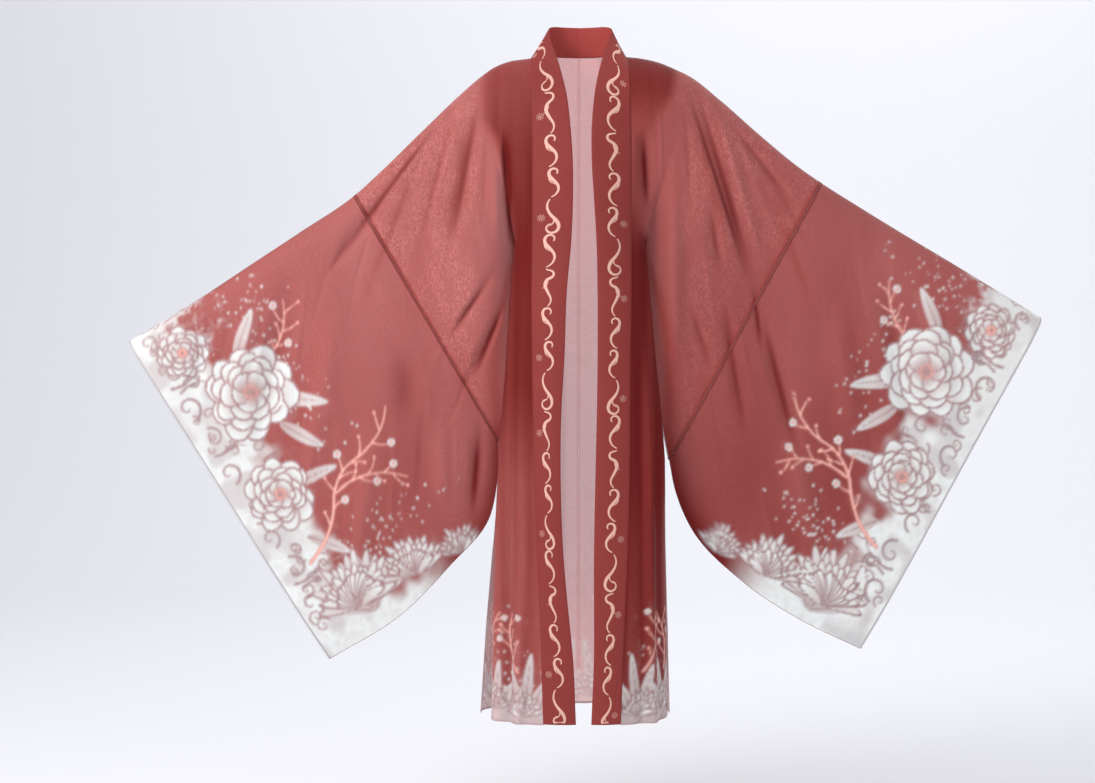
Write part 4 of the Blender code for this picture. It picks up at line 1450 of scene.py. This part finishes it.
def body_panel(side, robe):
    """Cloth of one body panel in one with its upper sleeve."""
    grids = Panel(side).grids()
    chest = over_top(grids["front"][0], grids["back"][0])
    sleeve = over_top(grids["front"][1], grids["back"][1])
    upper = np.concatenate((chest, sleeve), axis=1)
    blank = np.repeat(upper[:1, BODY_CELLS:BODY_CELLS + 1], INNER_CELLS, axis=1)
    front = grids["front"][2][::-1]
    back = grids["back"][2]
    front = np.concatenate((front, np.repeat(blank, len(front), axis=0)), axis=1)
    back = np.concatenate((back, np.repeat(blank, len(back), axis=0)), axis=1)
    points = np.concatenate((front, upper, back))
    rows, columns = points.shape[:2]
    back_edge = points[(rows + 1) // 2:, 0]
    back_edge[back_edge[:, 0] < NECK_CORNER, 0] = SEAM_GAP / 2
    keep = np.ones((rows - 1, columns - 1), dtype=bool)
    keep[:len(front), BODY_CELLS:] = False
    keep[rows - 1 - len(back):, BODY_CELLS:] = False
    material = sheer_material(
        "sheer_body_" + side, robe.body_colour, robe.body_cover, BODY_WATERED, robe)
    piece, used = add_piece(
        "cloth_body_" + side, mirrored(side, points).reshape(-1, 3),
        grid_faces(rows, columns, keep=keep), material, turn=side == "right",
    )
    across, down = flat_places(points)
    down = np.repeat(down[:, :1], columns, axis=1)
    add_flat_map(piece, used, across, down)
    inks = blank_inks(points.shape[:2])
    for layer, part in (("front", slice(0, len(front))), ("back", slice(rows - len(back), rows))):
        cells = (part, slice(0, BODY_CELLS + 1))
        wide = across[cells][:, -1:] * np.ones(BODY_CELLS + 1)
        seed = 5 + 20 * (side == "left") + 7 * (layer == "back")
        made = hem_print(across[cells], points[cells][..., 2] - HEM_Z, wide, seed)
        for name in INKS:
            inks[name][cells] = made[name]
    top = (rows - 1) // 2
    # Painted shade at every point from the folds, the layers and the side away from the light
    tone = np.zeros((rows, columns))
    for layer, part, kind in (
            ("front", slice(0, len(front)), "body"), ("front", slice(len(front), top + 1), "chest"),
            ("back", slice(top, rows - len(back)), "chest"),
            ("back", slice(rows - len(back), rows), "body")):
        tone[part] = painted_layer_shade(side, layer, points[part], kind)
    # Painted highlights lie on the upper sleeve, with fewer where the painted shade is deep
    crinkle = smooth((points[..., 0] - 165) / 50) * smooth((0.75 - tone) / 0.3)
    # Painted glow on the inner face of the back panel, near the centre back and strongest high up
    backlit = (points[..., 1] > 0) * smooth((76 - points[..., 0]) / 50)
    backlit = backlit * (0.65 + 0.85 * smooth((points[..., 2] + 900) / 700))
    add_values(
        piece, used, cloth_tone=np.clip(tone, 0, 1), crinkle=crinkle, backlit=backlit, **inks)
    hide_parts("body_" + side)
    BUILT["body_" + side] = {"piece": piece, "points": points, "front": len(front)}


def outer_sleeve(side, robe):
    """Cloth of one outer sleeve."""
    grids = outer_grids(side)
    points = over_top(grids["front"], grids["back"])
    rows, columns = points.shape[:2]
    material = sheer_material(
        "sheer_sleeve_" + side, robe.sleeve_colour, robe.sleeve_cover, SLEEVE_WATERED, robe)
    piece, used = add_piece(
        "cloth_sleeve_" + side, mirrored(side, points).reshape(-1, 3),
        grid_faces(rows, columns), material, turn=side == "right",
    )
    across, down = flat_places(points)
    add_flat_map(piece, used, across, down)
    top = len(grids["front"]) - 1
    inwards = across[:, -1:] - across
    inks = blank_inks(points.shape[:2])
    for layer, part in (("front", slice(0, top + 1)), ("back", slice(top, rows))):
        fall = np.abs(down[part] - down[top])
        tall = np.abs(down[0 if layer == "front" else -1] - down[top]) * np.ones_like(fall)
        seed = 100 + 40 * (side == "left") + 20 * (layer == "back")
        made = sleeve_print(inwards[part], fall, tall, seed)
        for name in INKS:
            inks[name][part] = made[name]
    # Painted shade at every point from the folds, the sleeve's side and its lower part
    tone = np.concatenate([
        painted_layer_shade(side, layer, points[part], "sleeve")
        for layer, part in (("front", slice(0, top)), ("back", slice(top, rows)))])
    # Painted highlights, thinly over all the outer sleeve
    crinkle = np.full(tone.shape, SLEEVE_PAINTED_HIGHLIGHT)
    add_values(piece, used, cloth_tone=np.clip(tone, 0, 1), crinkle=crinkle, **inks)
    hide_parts("sleeve_" + side)
    BUILT["sleeve_" + side] = {"piece": piece, "points": points}


def band_points(side, places, parts):
    """Middle points of the neckband at places along it and parts of its width."""
    numbers = np.arange(SAMPLES)
    edges = [np.interp(places, numbers, BAND[side][:, axis]) for axis in range(6)]
    seam, free = np.stack(edges[:3], -1), np.stack(edges[3:], -1)
    across = free - seam
    stands = np.interp(places, numbers, BAND_STAND[side])
    start = (0.3 * stands - BAND_OVER_EDGE) / np.linalg.norm(across, axis=-1)
    part = start + (1 - start) * parts
    points = seam + across * part[..., None]
    points[..., 1] -= tabled(BAND_BULGE, 1, points[..., 2]) * 4 * part * (1 - part)
    return points


def band_surface(side, places, parts):
    """Middle points and outward directions of the neckband at places and parts across."""
    low, high = np.maximum(places - 0.5, 0), np.minimum(places + 0.5, SAMPLES - 1)
    forward = band_points(side, high, parts) - band_points(side, low, parts)
    sideways = band_points(side, places, parts + 0.02) - band_points(side, places, parts - 0.02)
    return band_points(side, places, parts), unit(np.cross(sideways, forward))


def neckband(robe):
    """Doubled neckband, rounded at its free edge, from one hem round the neck to the other."""
    places, parts = np.meshgrid(
        np.linspace(0, SAMPLES - 1, BAND_LONG_SAMPLES), np.linspace(0, 1, BAND_WIDE_SAMPLES),
        indexing="ij")
    halves = []
    for side in ("right", "left"):
        points, out = band_surface(side, places, parts)
        outer = points + out * BAND_HALF_THICK
        inner = points - out * BAND_HALF_THICK
        tip = points[:, -1] + unit(points[:, -1] - points[:, -2]) * BAND_HALF_THICK * 0.8
        round_edge = tip[:, None] + out[:, -1:] * np.array((0.4, -0.4))[:, None] * BAND_HALF_THICK
        loop = np.concatenate((outer, round_edge, inner[:, ::-1]), axis=1)
        halves.append(loop * np.array((SIDES[side], 1.0, 1.0)))
    points = np.concatenate((halves[0][::-1], halves[1][1:]))
    rows, columns = points.shape[:2]
    material = sheer_material(
        "band_cloth", robe.band_colour, robe.band_cover, BAND_WATERED, robe, False)
    piece, used = add_piece(
        "cloth_neckband", points.reshape(-1, 3) * MM, tube_faces(rows, columns), material)
    across, down = flat_places(points)
    add_flat_map(piece, used, across, down)
    # Painted light on the inner face of the neckband, high at the back of the neck
    inner = np.arange(columns) > columns // 2
    add_values(piece, used, neck_light=smooth((points[..., 2] + 60) / 70) * inner)
    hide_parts("neckband")
    BUILT["neckband"] = {"piece": piece}


# Seams, hems and stitches


# Stitches: pitch, length, rings of each (place along it, thickness) and corners of a ring
STITCH_PITCH = 3.6
STITCH_LENGTH = 2.4
STITCH_RINGS = ((-0.5, 0.45), (0.0, 1.0), (0.5, 0.45))
STITCH_CORNERS = ((-1, -1), (1, -1), (1, 1), (-1, 1))

# Strips: corners round them, and length of one part
STRIP_CORNERS = 8
STRIP_STEP = 4.0

# Seams: edge, width, thickness, lift off the cloth and shift aside
SEAM_STRIPS = (
    ("joining", 4.2, 0.6, 0.6, -2.0), ("joining", 2.4, 0.6, 0.6, 2.8), ("under arm", 3.4, 3.0, -0.8, 0),
    ("sleeve foot", 3.0, 1.6, 0, 0), ("side", 3.2, 1.2, 0, 0),
)

# Edges of the body with a rolled hem
HEM_EDGES = ("front hem", "back hem", "front slit", "back slit")


def resampled(path, out, step):
    """Path and outward directions at even steps of about the given length."""
    run = lengths(path)
    at = np.linspace(0, run[-1], max(3, int(round(run[-1] / step)) + 1))
    points = np.stack([np.interp(at, run, path[:, axis]) for axis in range(3)], axis=1)
    turned_out = np.stack([np.interp(at, run, out[:, axis]) for axis in range(3)], axis=1)
    return points, unit(turned_out)


def directions(path, out):
    """Forward, sideways and outward directions along a path."""
    forward = unit(np.gradient(path, axis=0))
    sideways = unit(np.cross(out, forward))
    return forward, sideways, unit(np.cross(forward, sideways))


def strip(path, out, wide, thick, lift=0.0, shift=0.0):
    """Flat rounded strip along a path: points and faces of one closed tube."""
    path, out = resampled(path, out, STRIP_STEP)
    _, sideways, out = directions(path, out)
    angles = np.linspace(0, 2 * math.pi, STRIP_CORNERS + 1)[:-1] + math.pi / STRIP_CORNERS
    across = shift + wide / 2 * np.sign(np.cos(angles)) * np.abs(np.cos(angles)) ** 0.7
    above = lift + thick / 2 * np.sin(angles)
    points = path[:, None] + sideways[:, None] * across[:, None] + out[:, None] * above[:, None]
    return points.reshape(-1, 3), tube_faces(len(path), STRIP_CORNERS)


def stitches(path, out, thick, lift, shift):
    """Row of small thread stitches along a path, each a tapered bar."""
    path, out = resampled(path, out, STITCH_PITCH)
    forward, sideways, out = directions(path, out)
    shape = np.array([
        (ahead * STITCH_LENGTH, side * size * thick / 2, up * size * thick / 2)
        for ahead, size in STITCH_RINGS for side, up in STITCH_CORNERS
    ])
    shape = shape + (0, shift, lift)
    axes = np.stack((forward, sideways, out), axis=1)[:-1]
    middle = (path[:-1] + path[1:]) / 2
    points = middle[:, None] + np.einsum("pk,nkc->npc", shape, axes)
    faces = tube_faces(len(STITCH_RINGS), len(STITCH_CORNERS))
    faces = faces[None] + (np.arange(len(middle)) * len(shape))[:, None, None]
    return points.reshape(-1, 3), faces.reshape(-1, 4)


def joined(parts):
    """One set of points and faces from several."""
    points, faces, first = [], [], 0
    for some_points, some_faces in parts:
        points.append(some_points)
        faces.append(some_faces + first)
        first += len(some_points)
    return np.concatenate(points), np.concatenate(faces)


def grid_out(points):
    """Outward directions of a grid whose rows run over the top fold from front to back."""
    ahead = np.gradient(points, axis=0)
    aside = np.gradient(points, axis=1)
    return unit(np.cross(aside, ahead))


def trimming(name, parts, side, material):
    """Piece made of strips or stitches of one side."""
    points, faces = joined(parts)
    piece, _ = add_piece(name, mirrored(side, points), faces, material, turn=side == "right")
    return piece


def edge_paths(side):
    """Paths and outward directions of the edges and seams of one side."""
    points, front = BUILT["body_" + side]["points"], BUILT["body_" + side]["front"]
    rows = len(points)
    body_out = grid_out(points[:, :BODY_CELLS + 1])
    sleeve_points = BUILT["sleeve_" + side]["points"]
    sleeve_out = grid_out(sleeve_points)
    slit = int(np.argmin(np.abs(points[:front, BODY_CELLS, 2] - SLIT_Z)))
    paths = {
        "joining": (sleeve_points[:, 0], sleeve_out[:, 0]),
        "cuff": (sleeve_points[:, -1], sleeve_out[:, -1]),
        "front hem": (points[0, :BODY_CELLS + 1], body_out[0]),
        "back hem": (points[-1, :BODY_CELLS + 1], body_out[-1]),
        "front slit": (points[:slit + 1, BODY_CELLS], body_out[:slit + 1, -1]),
        "back slit": (points[-slit - 1:, BODY_CELLS], body_out[-slit - 1:, -1]),
    }
    middles = {
        "under arm": (points[front, BODY_CELLS:] + points[rows - 1 - front, BODY_CELLS:]) / 2,
        "sleeve foot": (sleeve_points[0] + sleeve_points[-1]) / 2,
    }
    for name, middle in middles.items():
        paths[name] = (middle, unit(np.cross(np.gradient(middle, axis=0), (0.0, 1.0, 0.0))))
    front_side, back_side = points[slit:front, BODY_CELLS], points[rows - front:rows - slit, BODY_CELLS]
    sides = (front_side + back_side[::-1]) / 2
    paths["side"] = (sides, np.array((1.0, 0.0, 0.0)) * np.ones_like(sides))
    return paths


def build_seams(side, robe):
    """Joining, closing and side seams of one side, the joining lap, and the side's stitches."""
    paths = edge_paths(side)
    dark = plain_material("seam_cloth_" + side, shaded(robe.seam_colour, 1.3), robe, 0.5)
    thread = plain_material("seam_thread_" + side, shaded(robe.seam_colour, 1.5), robe, 0.5)
    cloth = plain_material("seam_lap_" + side, shaded(robe.sleeve_colour, 0.8), robe, 0.5)
    parts = [strip(*paths[name], *sizes) for name, *sizes in SEAM_STRIPS]
    lap = [strip(*paths["joining"], 8.0, 0.5, lift=0.35)]
    sewing = [stitches(*paths["side"], 0.5, 0.75, 0.0)]
    return [
        trimming("seams_" + side, parts, side, dark),
        trimming("joining_lap_" + side, lap, side, cloth),
        trimming("seam_stitches_" + side, sewing, side, thread),
    ]


def build_hems(side, robe):
    """Rolled hems of the cuff, the body's lower edges and the slit, with their stitches."""
    paths = edge_paths(side)
    pale = plain_material("cuff_hem_" + side, robe.cuff_hem_colour, robe, 0.96)
    rosy = plain_material("body_hem_" + side, robe.body_hem_colour, robe, 0.92)
    thread = plain_material("hem_thread_" + side, shaded(robe.cuff_hem_colour, 0.8), robe)
    cuff = [strip(*paths["cuff"], 4.2, 1.3)]
    hems = [strip(*paths[name], 3.6, 1.3) for name in HEM_EDGES]
    sewing = [stitches(*paths["cuff"], 0.45, 0.75, 0.9)]
    sewing += [stitches(*paths[name], 0.45, 0.75, 0.8) for name in HEM_EDGES]
    return (
        trimming("cuff_hem_" + side, cuff, side, pale),
        trimming("body_hem_" + side, hems, side, rosy),
        trimming("hem_stitches_" + side, sewing, side, thread),
    )


def build_back_seam(robe):
    """Centre back seam from the neckband to the hem."""
    halves = []
    for side in SIDES:
        points = BUILT["body_" + side]["points"]
        top = (len(points) - 1) // 2
        halves.append(points[top:, 0] * np.array((SIDES[side], 1.0, 1.0)))
    start = int(np.argmax(halves[0][:, 0] > -1.0))
    path = (halves[0][start:] + halves[1][start:]) / 2
    path[0] += unit(path[0] - path[4]) * 3.0
    path[:, 0] = 0.0
    forward = np.gradient(path, axis=0)
    out = unit(np.cross(forward, np.array((-1.0, 0.0, 0.0))))
    out = out * np.sign(out[:, 1:2])
    material = plain_material("back_seam_cloth", shaded(robe.seam_colour, 2.6), robe, 0.13)
    points, faces = joined([
        strip(path, out, 6.4, 0.5, lift=0.5),
        stitches(path, out, 0.45, 1.0, 2.0),
    ])
    piece, _ = add_piece("centre_back_seam", points * MM, faces, material)
    return piece


# Vine along the neckband


# Strokes: part of the way along the stroke, and its direction from the band's, in degrees
STROKES = {
    "wave": ((0, -235), (.14, -120), (.30, -15), (.46, 42), (.62, 40), (.82, -20), (1, -66)),
    "hook": ((0, 62), (.10, 84), (.20, 10), (.32, -78), (.42, -30), (.56, 22), (.78, 30), (1, -50)),
    "curl": ((0, -40), (.22, 20), (.40, 46), (.56, 12), (.72, -70), (.86, -160), (1, -262)),
}

# Strokes in turn along the band: kind, length, shift across, and 1 for a rosette beside it
VINE = (
    ("wave", 92, -2, 0), ("wave", 84, 2, 1), ("curl", 112, 0, 0), ("hook", 96, 1, 1),
    ("wave", 88, -1, 0), ("wave", 80, 2, 0), ("curl", 104, 1, 1), ("wave", 94, -2, 0),
    ("hook", 90, 0, 0),
)
STROKE_GAP = 4.0
STROKE_WIDTH = 6.2
STROKE_STEPS = 48
BAND_WIDTH = 62.0

# Where the vine starts on each side: millimetres from the centre back, and its first stroke
VINE_START = {"right": (66.0, 0), "left": (84.0, 4)}


def pen_line(kind, length):
    """Line drawn by a pen that turns as the table of its kind says."""
    rows = STROKES[kind]
    share = np.linspace(0, 1, STROKE_STEPS)
    heading = np.radians(np.interp(share, [row[0] for row in rows], [row[1] for row in rows]))
    for _ in range(4):
        heading[1:-1] = (heading[:-2] + 2 * heading[1:-1] + heading[2:]) / 4
    line = np.cumsum(np.stack((np.cos(heading), np.sin(heading)), axis=1), axis=0)
    return line * length / STROKE_STEPS


def vine_lines(number, start):
    """Strokes of one part of the vine in millimetres along and across the band, and its end."""
    kind, length, shift, rosette = VINE[number % len(VINE)]
    stem = pen_line(kind, length)
    low, high = stem.min(axis=0), stem.max(axis=0)
    stem = stem + (start - low[0], BAND_WIDTH / 2 + shift - (low[1] + high[1]) / 2)
    half = int(len(stem) * 0.46)
    lines = [(stem[half:], STROKE_WIDTH, 2.0), (stem[half::-1], STROKE_WIDTH, 2.2)]
    leaf_way = 1 if kind == "wave" else -1
    tick = bowed(stem[half - 4], stem[half - 4] + (16, leaf_way * 9), -0.22 * leaf_way, 10)
    lines.append((tick, 3.2, 0.8))
    end = start + high[0] - low[0]
    if rosette:
        x, y = start + 0.55 * (end - start), BAND_WIDTH / 2 - 17
        for ray in range(8):
            angle = ray * math.pi / 4 + 0.2
            petal = [turned(x, y, reach, angle) for reach in (2.6, 4.6, 6.4)]
            lines.append((np.array(petal), 0.6, 1.5))
        lines.append((curl(x, y, 1.4, 0, 1.0, 1, 9, 0.9), 0.9, 0.9))
    return lines, end


def ribbon(side, line, wide, narrow, run):
    """Raised stroke on the outer face of the neckband: three points across."""
    line = np.asarray(line, float)
    forward = np.gradient(line, axis=0)
    aside = np.stack((-forward[:, 1], forward[:, 0]), axis=1)
    aside /= np.maximum(np.linalg.norm(aside, axis=1, keepdims=True), 1e-9)
    half = np.linspace(wide, narrow, len(line))[:, None] / 2
    rows = []
    for offset, lift in ((-1, 0.05), (0, 0.55), (1, 0.05)):
        spot = line + aside * half * offset
        places = np.interp(spot[:, 0], run, np.arange(SAMPLES))
        middle, out = band_surface(side, places, np.clip(spot[:, 1] / BAND_WIDTH, 0.02, 0.98))
        rows.append(middle + out * (BAND_HALF_THICK + lift))
    points = np.stack(rows, axis=1)
    return points.reshape(-1, 3), grid_faces(len(line), 3)


def build_vine(robe):
    """Cream vine with curls and small rosettes along both halves of the neckband."""
    made = []
    for side in SIDES:
        run = lengths(BAND[side][:, :3])
        parts = []
        start, number = VINE_START[side]
        while start < run[-1] - 30:
            lines, end = vine_lines(number, start)
            for line, wide, narrow in lines:
                line = line[(line[:, 0] < run[-1] - 4)]
                if len(line) > 2:
                    parts.append(ribbon(side, line, wide, narrow, run))
            start, number = end + STROKE_GAP, number + 1
        points, faces = joined(parts)
        material = plain_material("vine_thread_" + side, robe.vine_colour, robe)
        piece, _ = add_piece(
            "neckband_vine_" + side, mirrored(side, points), faces, material,
            turn=side == "left")
        made.append(piece)
    return made


# Settings that a user would change


class RobeCloth(bpy.types.PropertyGroup):
    """Colours and finish of the robe's cloth, with its painted shade, highlights and glow."""

    body_colour: bpy.props.FloatVectorProperty(
        name="Body colour", description="Dye of the two body panels", subtype="COLOR",
        size=3, min=0, max=1, default=(0.47, 0.094, 0.080))
    sleeve_colour: bpy.props.FloatVectorProperty(
        name="Sleeve colour", description="Dye of the outer sleeves", subtype="COLOR",
        size=3, min=0, max=1, default=(0.48, 0.110, 0.098))
    band_colour: bpy.props.FloatVectorProperty(
        name="Band colour", description="Dye of the doubled neckband", subtype="COLOR",
        size=3, min=0, max=1, default=(0.225, 0.036, 0.032))
    # Colour of the painted shade where layers or folds lie over each other
    painted_shade_colour: bpy.props.FloatVectorProperty(
        name="Deep colour", description="Cloth where layers or folds lie over each other",
        subtype="COLOR", size=3, min=0, max=1, default=(0.125, 0.008, 0.007))
    # Colour of the painted highlights on the crinkles
    painted_highlight_colour: bpy.props.FloatVectorProperty(
        name="Fleck colour", description="Crinkles that catch the light", subtype="COLOR",
        size=3, min=0, max=1, default=(0.84, 0.27, 0.24))
    seam_colour: bpy.props.FloatVectorProperty(
        name="Seam colour", description="Seams seen through the cloth", subtype="COLOR",
        size=3, min=0, max=1, default=(0.26, 0.034, 0.030))
    cuff_hem_colour: bpy.props.FloatVectorProperty(
        name="Cuff hem colour", description="Rolled edge of the cuffs", subtype="COLOR",
        size=3, min=0, max=1, default=(0.60, 0.56, 0.58))
    body_hem_colour: bpy.props.FloatVectorProperty(
        name="Body hem colour", description="Rolled edge of the body", subtype="COLOR",
        size=3, min=0, max=1, default=(0.58, 0.40, 0.39))
    vine_colour: bpy.props.FloatVectorProperty(
        name="Vine colour", description="Vine along the neckband", subtype="COLOR",
        size=3, min=0, max=1, default=(0.82, 0.46, 0.37))
    white_ink: bpy.props.FloatVectorProperty(
        name="White ink", description="Palest ink of the print", subtype="COLOR",
        size=3, min=0, max=1, default=(0.68, 0.71, 0.70))
    grey_ink: bpy.props.FloatVectorProperty(
        name="Grey ink", description="Cloud lines of the print", subtype="COLOR",
        size=3, min=0, max=1, default=(0.33, 0.34, 0.36))
    coral_ink: bpy.props.FloatVectorProperty(
        name="Coral ink", description="Branches of the print", subtype="COLOR",
        size=3, min=0, max=1, default=(0.80, 0.42, 0.36))
    print_cover: bpy.props.FloatProperty(
        name="Print cover", description="How much the printed places hide", subtype="FACTOR",
        min=0, max=1, default=0.97)
    body_cover: bpy.props.FloatProperty(
        name="Body cover", description="How much the body cloth hides", subtype="FACTOR",
        min=0, max=1, default=0.64)
    sleeve_cover: bpy.props.FloatProperty(
        name="Sleeve cover", description="How much the sleeve cloth hides", subtype="FACTOR",
        min=0, max=1, default=0.66)
    band_cover: bpy.props.FloatProperty(
        name="Band cover", description="How much the doubled band hides", subtype="FACTOR",
        min=0, max=1, default=0.95)
    roughness: bpy.props.FloatProperty(
        name="Roughness", description="Roughness of the cloth", subtype="FACTOR",
        min=0, max=1, default=0.62)
    sheen: bpy.props.FloatProperty(
        name="Sheen", description="Soft sheen at the folds", subtype="FACTOR",
        min=0, max=1, default=0.03)
    # Painted glow: the cloth gives off light in its own colour, standing in for light that comes
    # through the thin cloth
    painted_glow: bpy.props.FloatProperty(
        name="Light through", description="Light that comes through the thin cloth",
        subtype="FACTOR", min=0, max=1, default=0.28)


class RobeStage(bpy.types.PropertyGroup):
    """Floor, light and backdrop round the robe."""

    floor_level: bpy.props.FloatProperty(
        name="Floor level", description="Height of the floor", subtype="DISTANCE",
        unit="LENGTH", default=-1.62)
    wall_distance: bpy.props.FloatProperty(
        name="Wall distance", description="Distance of the backdrop", subtype="DISTANCE",
        unit="LENGTH", default=7.5)
    key_power: bpy.props.FloatProperty(
        name="Key light", description="Power of the large front light", subtype="POWER",
        unit="POWER", default=108.0)
    fill_power: bpy.props.FloatProperty(
        name="Fill light", description="Power of the side light", subtype="POWER",
        unit="POWER", default=9.0)
    wall_power: bpy.props.FloatProperty(
        name="Wall light", description="Power of the light on the backdrop", subtype="POWER",
        unit="POWER", default=232.0)
    sky_strength: bpy.props.FloatProperty(
        name="Room light", description="Strength of the even room light", default=0.52)
    backdrop_strength: bpy.props.FloatProperty(
        name="Room brightness", description="How bright the room itself looks", default=0.86)
    stage_colour: bpy.props.FloatVectorProperty(
        name="Stage colour", description="Colour of floor and backdrop", subtype="COLOR",
        size=3, min=0, max=1, default=(0.90, 0.90, 0.94))


# Operators


class ROBE_OT_bodies(bpy.types.Operator):
    """Build the two body panels"""

    bl_idname = "robe.bodies"
    bl_label = "Body panels"

    def execute(self, context):
        for side in SIDES:
            body_panel(side, context.scene.robe_cloth)
        return {"FINISHED"}


class ROBE_OT_sleeves(bpy.types.Operator):
    """Build the two outer sleeves"""

    bl_idname = "robe.sleeves"
    bl_label = "Outer sleeves"

    def execute(self, context):
        for side in SIDES:
            outer_sleeve(side, context.scene.robe_cloth)
        return {"FINISHED"}


class ROBE_OT_neckband(bpy.types.Operator):
    """Build the long neckband"""

    bl_idname = "robe.neckband"
    bl_label = "Neckband"

    def execute(self, context):
        neckband(context.scene.robe_cloth)
        return {"FINISHED"}


class ROBE_OT_vine(bpy.types.Operator):
    """Lay the vine along the neckband"""

    bl_idname = "robe.vine"
    bl_label = "Neckband vine"

    def execute(self, context):
        vines = build_vine(context.scene.robe_cloth)
        return {"FINISHED"}


class ROBE_OT_trimmings(bpy.types.Operator):
    """Sew the seams and roll the hems"""

    bl_idname = "robe.trimmings"
    bl_label = "Seams and hems"

    def execute(self, context):
        robe = context.scene.robe_cloth
        back_seam = build_back_seam(robe)
        for side in SIDES:
            cuff, *hems = build_hems(side, robe)
            on_body = [*build_seams(side, robe), *hems]
            if side == "right":
                on_body.append(back_seam)
        return {"FINISHED"}


class ROBE_OT_stage(bpy.types.Operator):
    """Build the floor, backdrop, lights and camera"""

    bl_idname = "robe.stage"
    bl_label = "Stage and camera"

    def execute(self, context):
        build_floor(context.scene.robe_stage)
        build_lights(context.scene.robe_stage)
        build_camera()
        return {"FINISHED"}


STEPS = (
    ROBE_OT_bodies, ROBE_OT_sleeves, ROBE_OT_neckband, ROBE_OT_vine, ROBE_OT_trimmings,
    ROBE_OT_stage,
)


class ROBE_PT_sidebar(bpy.types.Panel):
    """Panel that lists the steps and settings of the robe."""

    bl_idname = "ROBE_PT_sidebar"
    bl_label = "Robe"
    bl_space_type = "VIEW_3D"
    bl_region_type = "UI"
    bl_category = "Robe"

    def draw(self, context):
        for step in STEPS:
            self.layout.operator(step.bl_idname)
        for settings in (context.scene.robe_cloth, context.scene.robe_stage):
            for name in settings.__annotations__:
                self.layout.prop(settings, name)


# Stage: reach of the floor, bend up into the backdrop and top of the backdrop, in metres
STAGE_REACH = 12.0
STAGE_BEND = 2.5
STAGE_TOP = 8.0
ROOM_COLOUR = (0.96, 0.97, 1.0, 1)

# Lights: name, place, size, and the setting that holds their power
LIGHTS = (
    ("key_light", (-2.4, -2.5, 1.4), 1.7, "key_power"),
    ("fill_light", (2.8, -3.4, 0.8), 2.6, "fill_power"),
    ("back_light", (0.6, 3.0, 2.2), 3.0, "fill_power"),
    ("wall_light", (2.4, 2.6, 5.5), 5.0, "wall_power"),
)


def build_floor(stage):
    """Floor that turns up into a backdrop."""
    low, far = stage.floor_level, stage.wall_distance
    profile = [(-STAGE_REACH, low)]
    for angle in np.linspace(0, math.pi / 2, 13):
        profile.append((
            far - STAGE_BEND + STAGE_BEND * math.sin(angle),
            low + STAGE_BEND * (1 - math.cos(angle)),
        ))
    profile.append((far, STAGE_TOP))
    points = [(x, y, z) for y, z in profile for x in (-STAGE_REACH, STAGE_REACH)]
    material, _, shader = new_material("pale_stage")
    shader.inputs["Base Color"].default_value = (*stage.stage_colour, 1.0)
    shader.inputs["Roughness"].default_value = 0.9
    mesh = bpy.data.meshes.new("stage_floor")
    mesh.from_pydata(points, [], grid_faces(len(profile), 2)[:, ::-1].tolist())
    mesh.polygons.foreach_set("use_smooth", np.ones(len(mesh.polygons), dtype=bool))
    mesh.materials.append(material)
    floor = bpy.data.objects.new("stage_floor", mesh)
    bpy.context.scene.collection.objects.link(floor)


def build_lights(stage):
    """Soft disc lights on the robe and on the backdrop, and the even light of the room."""
    for name, place, size, power in LIGHTS:
        target = (0.0, stage.wall_distance, 0.6) if name == "wall_light" else (0.0, 0.0, -0.6)
        lamp = bpy.data.lights.new(name, "AREA")
        lamp.shape = "DISK"
        lamp.size = size
        lamp.energy = getattr(stage, power)
        light = bpy.data.objects.new(name, lamp)
        light.location = place
        aim = np.array(target) - np.array(place)
        flat = math.hypot(aim[0], aim[1])
        light.rotation_euler = (math.atan2(flat, -aim[2]), 0, math.atan2(-aim[0], aim[1]))
        bpy.context.scene.collection.objects.link(light)
    world = bpy.data.worlds.new("room_light")
    world.use_nodes = True
    tree = world.node_tree
    background = tree.nodes["Background"]
    background.inputs["Color"].default_value = ROOM_COLOUR
    path = add_node(tree, "ShaderNodeLightPath")
    bright = blended(
        tree, path.outputs["Is Camera Ray"], stage.sky_strength, stage.backdrop_strength, "FLOAT")
    tree.links.new(bright, background.inputs["Strength"])
    bpy.context.scene.world = world


def build_camera():
    """Camera at the photo's viewing angle, with the photo's width in its frame."""
    lens = bpy.data.cameras.new("photo_camera")
    lens.lens = lens.sensor_width * CAMERA_DISTANCE / (PHOTO_WIDTH * METRES_PER_PIXEL)
    camera = bpy.data.objects.new("photo_camera", lens)
    camera.location = (CAMERA_X, -CAMERA_DISTANCE, CAMERA_Z)
    camera.rotation_euler = (math.pi / 2, 0, 0)
    bpy.context.scene.collection.objects.link(camera)
    bpy.context.scene.camera = camera
    bpy.context.scene.view_settings.view_transform = "Standard"


SETTINGS = {"robe_cloth": RobeCloth, "robe_stage": RobeStage}
CLASSES = (*SETTINGS.values(), *STEPS, ROBE_PT_sidebar)


def register():
    """Register the settings, the operators and the panel."""
    for item in CLASSES:
        bpy.utils.register_class(item)
    for name, item in SETTINGS.items():
        setattr(bpy.types.Scene, name, bpy.props.PointerProperty(type=item))


def unregister():
    """Take the settings, the operators and the panel away again."""
    for name in SETTINGS:
        delattr(bpy.types.Scene, name)
    for item in reversed(CLASSES):
        bpy.utils.unregister_class(item)


def main():
    """Build every piece in order."""
    register()
    bpy.ops.robe.bodies()
    bpy.ops.robe.sleeves()
    bpy.ops.robe.neckband()
    bpy.ops.robe.vine()
    bpy.ops.robe.trimmings()
    bpy.ops.robe.stage()


if __name__ == "__main__":
    main()
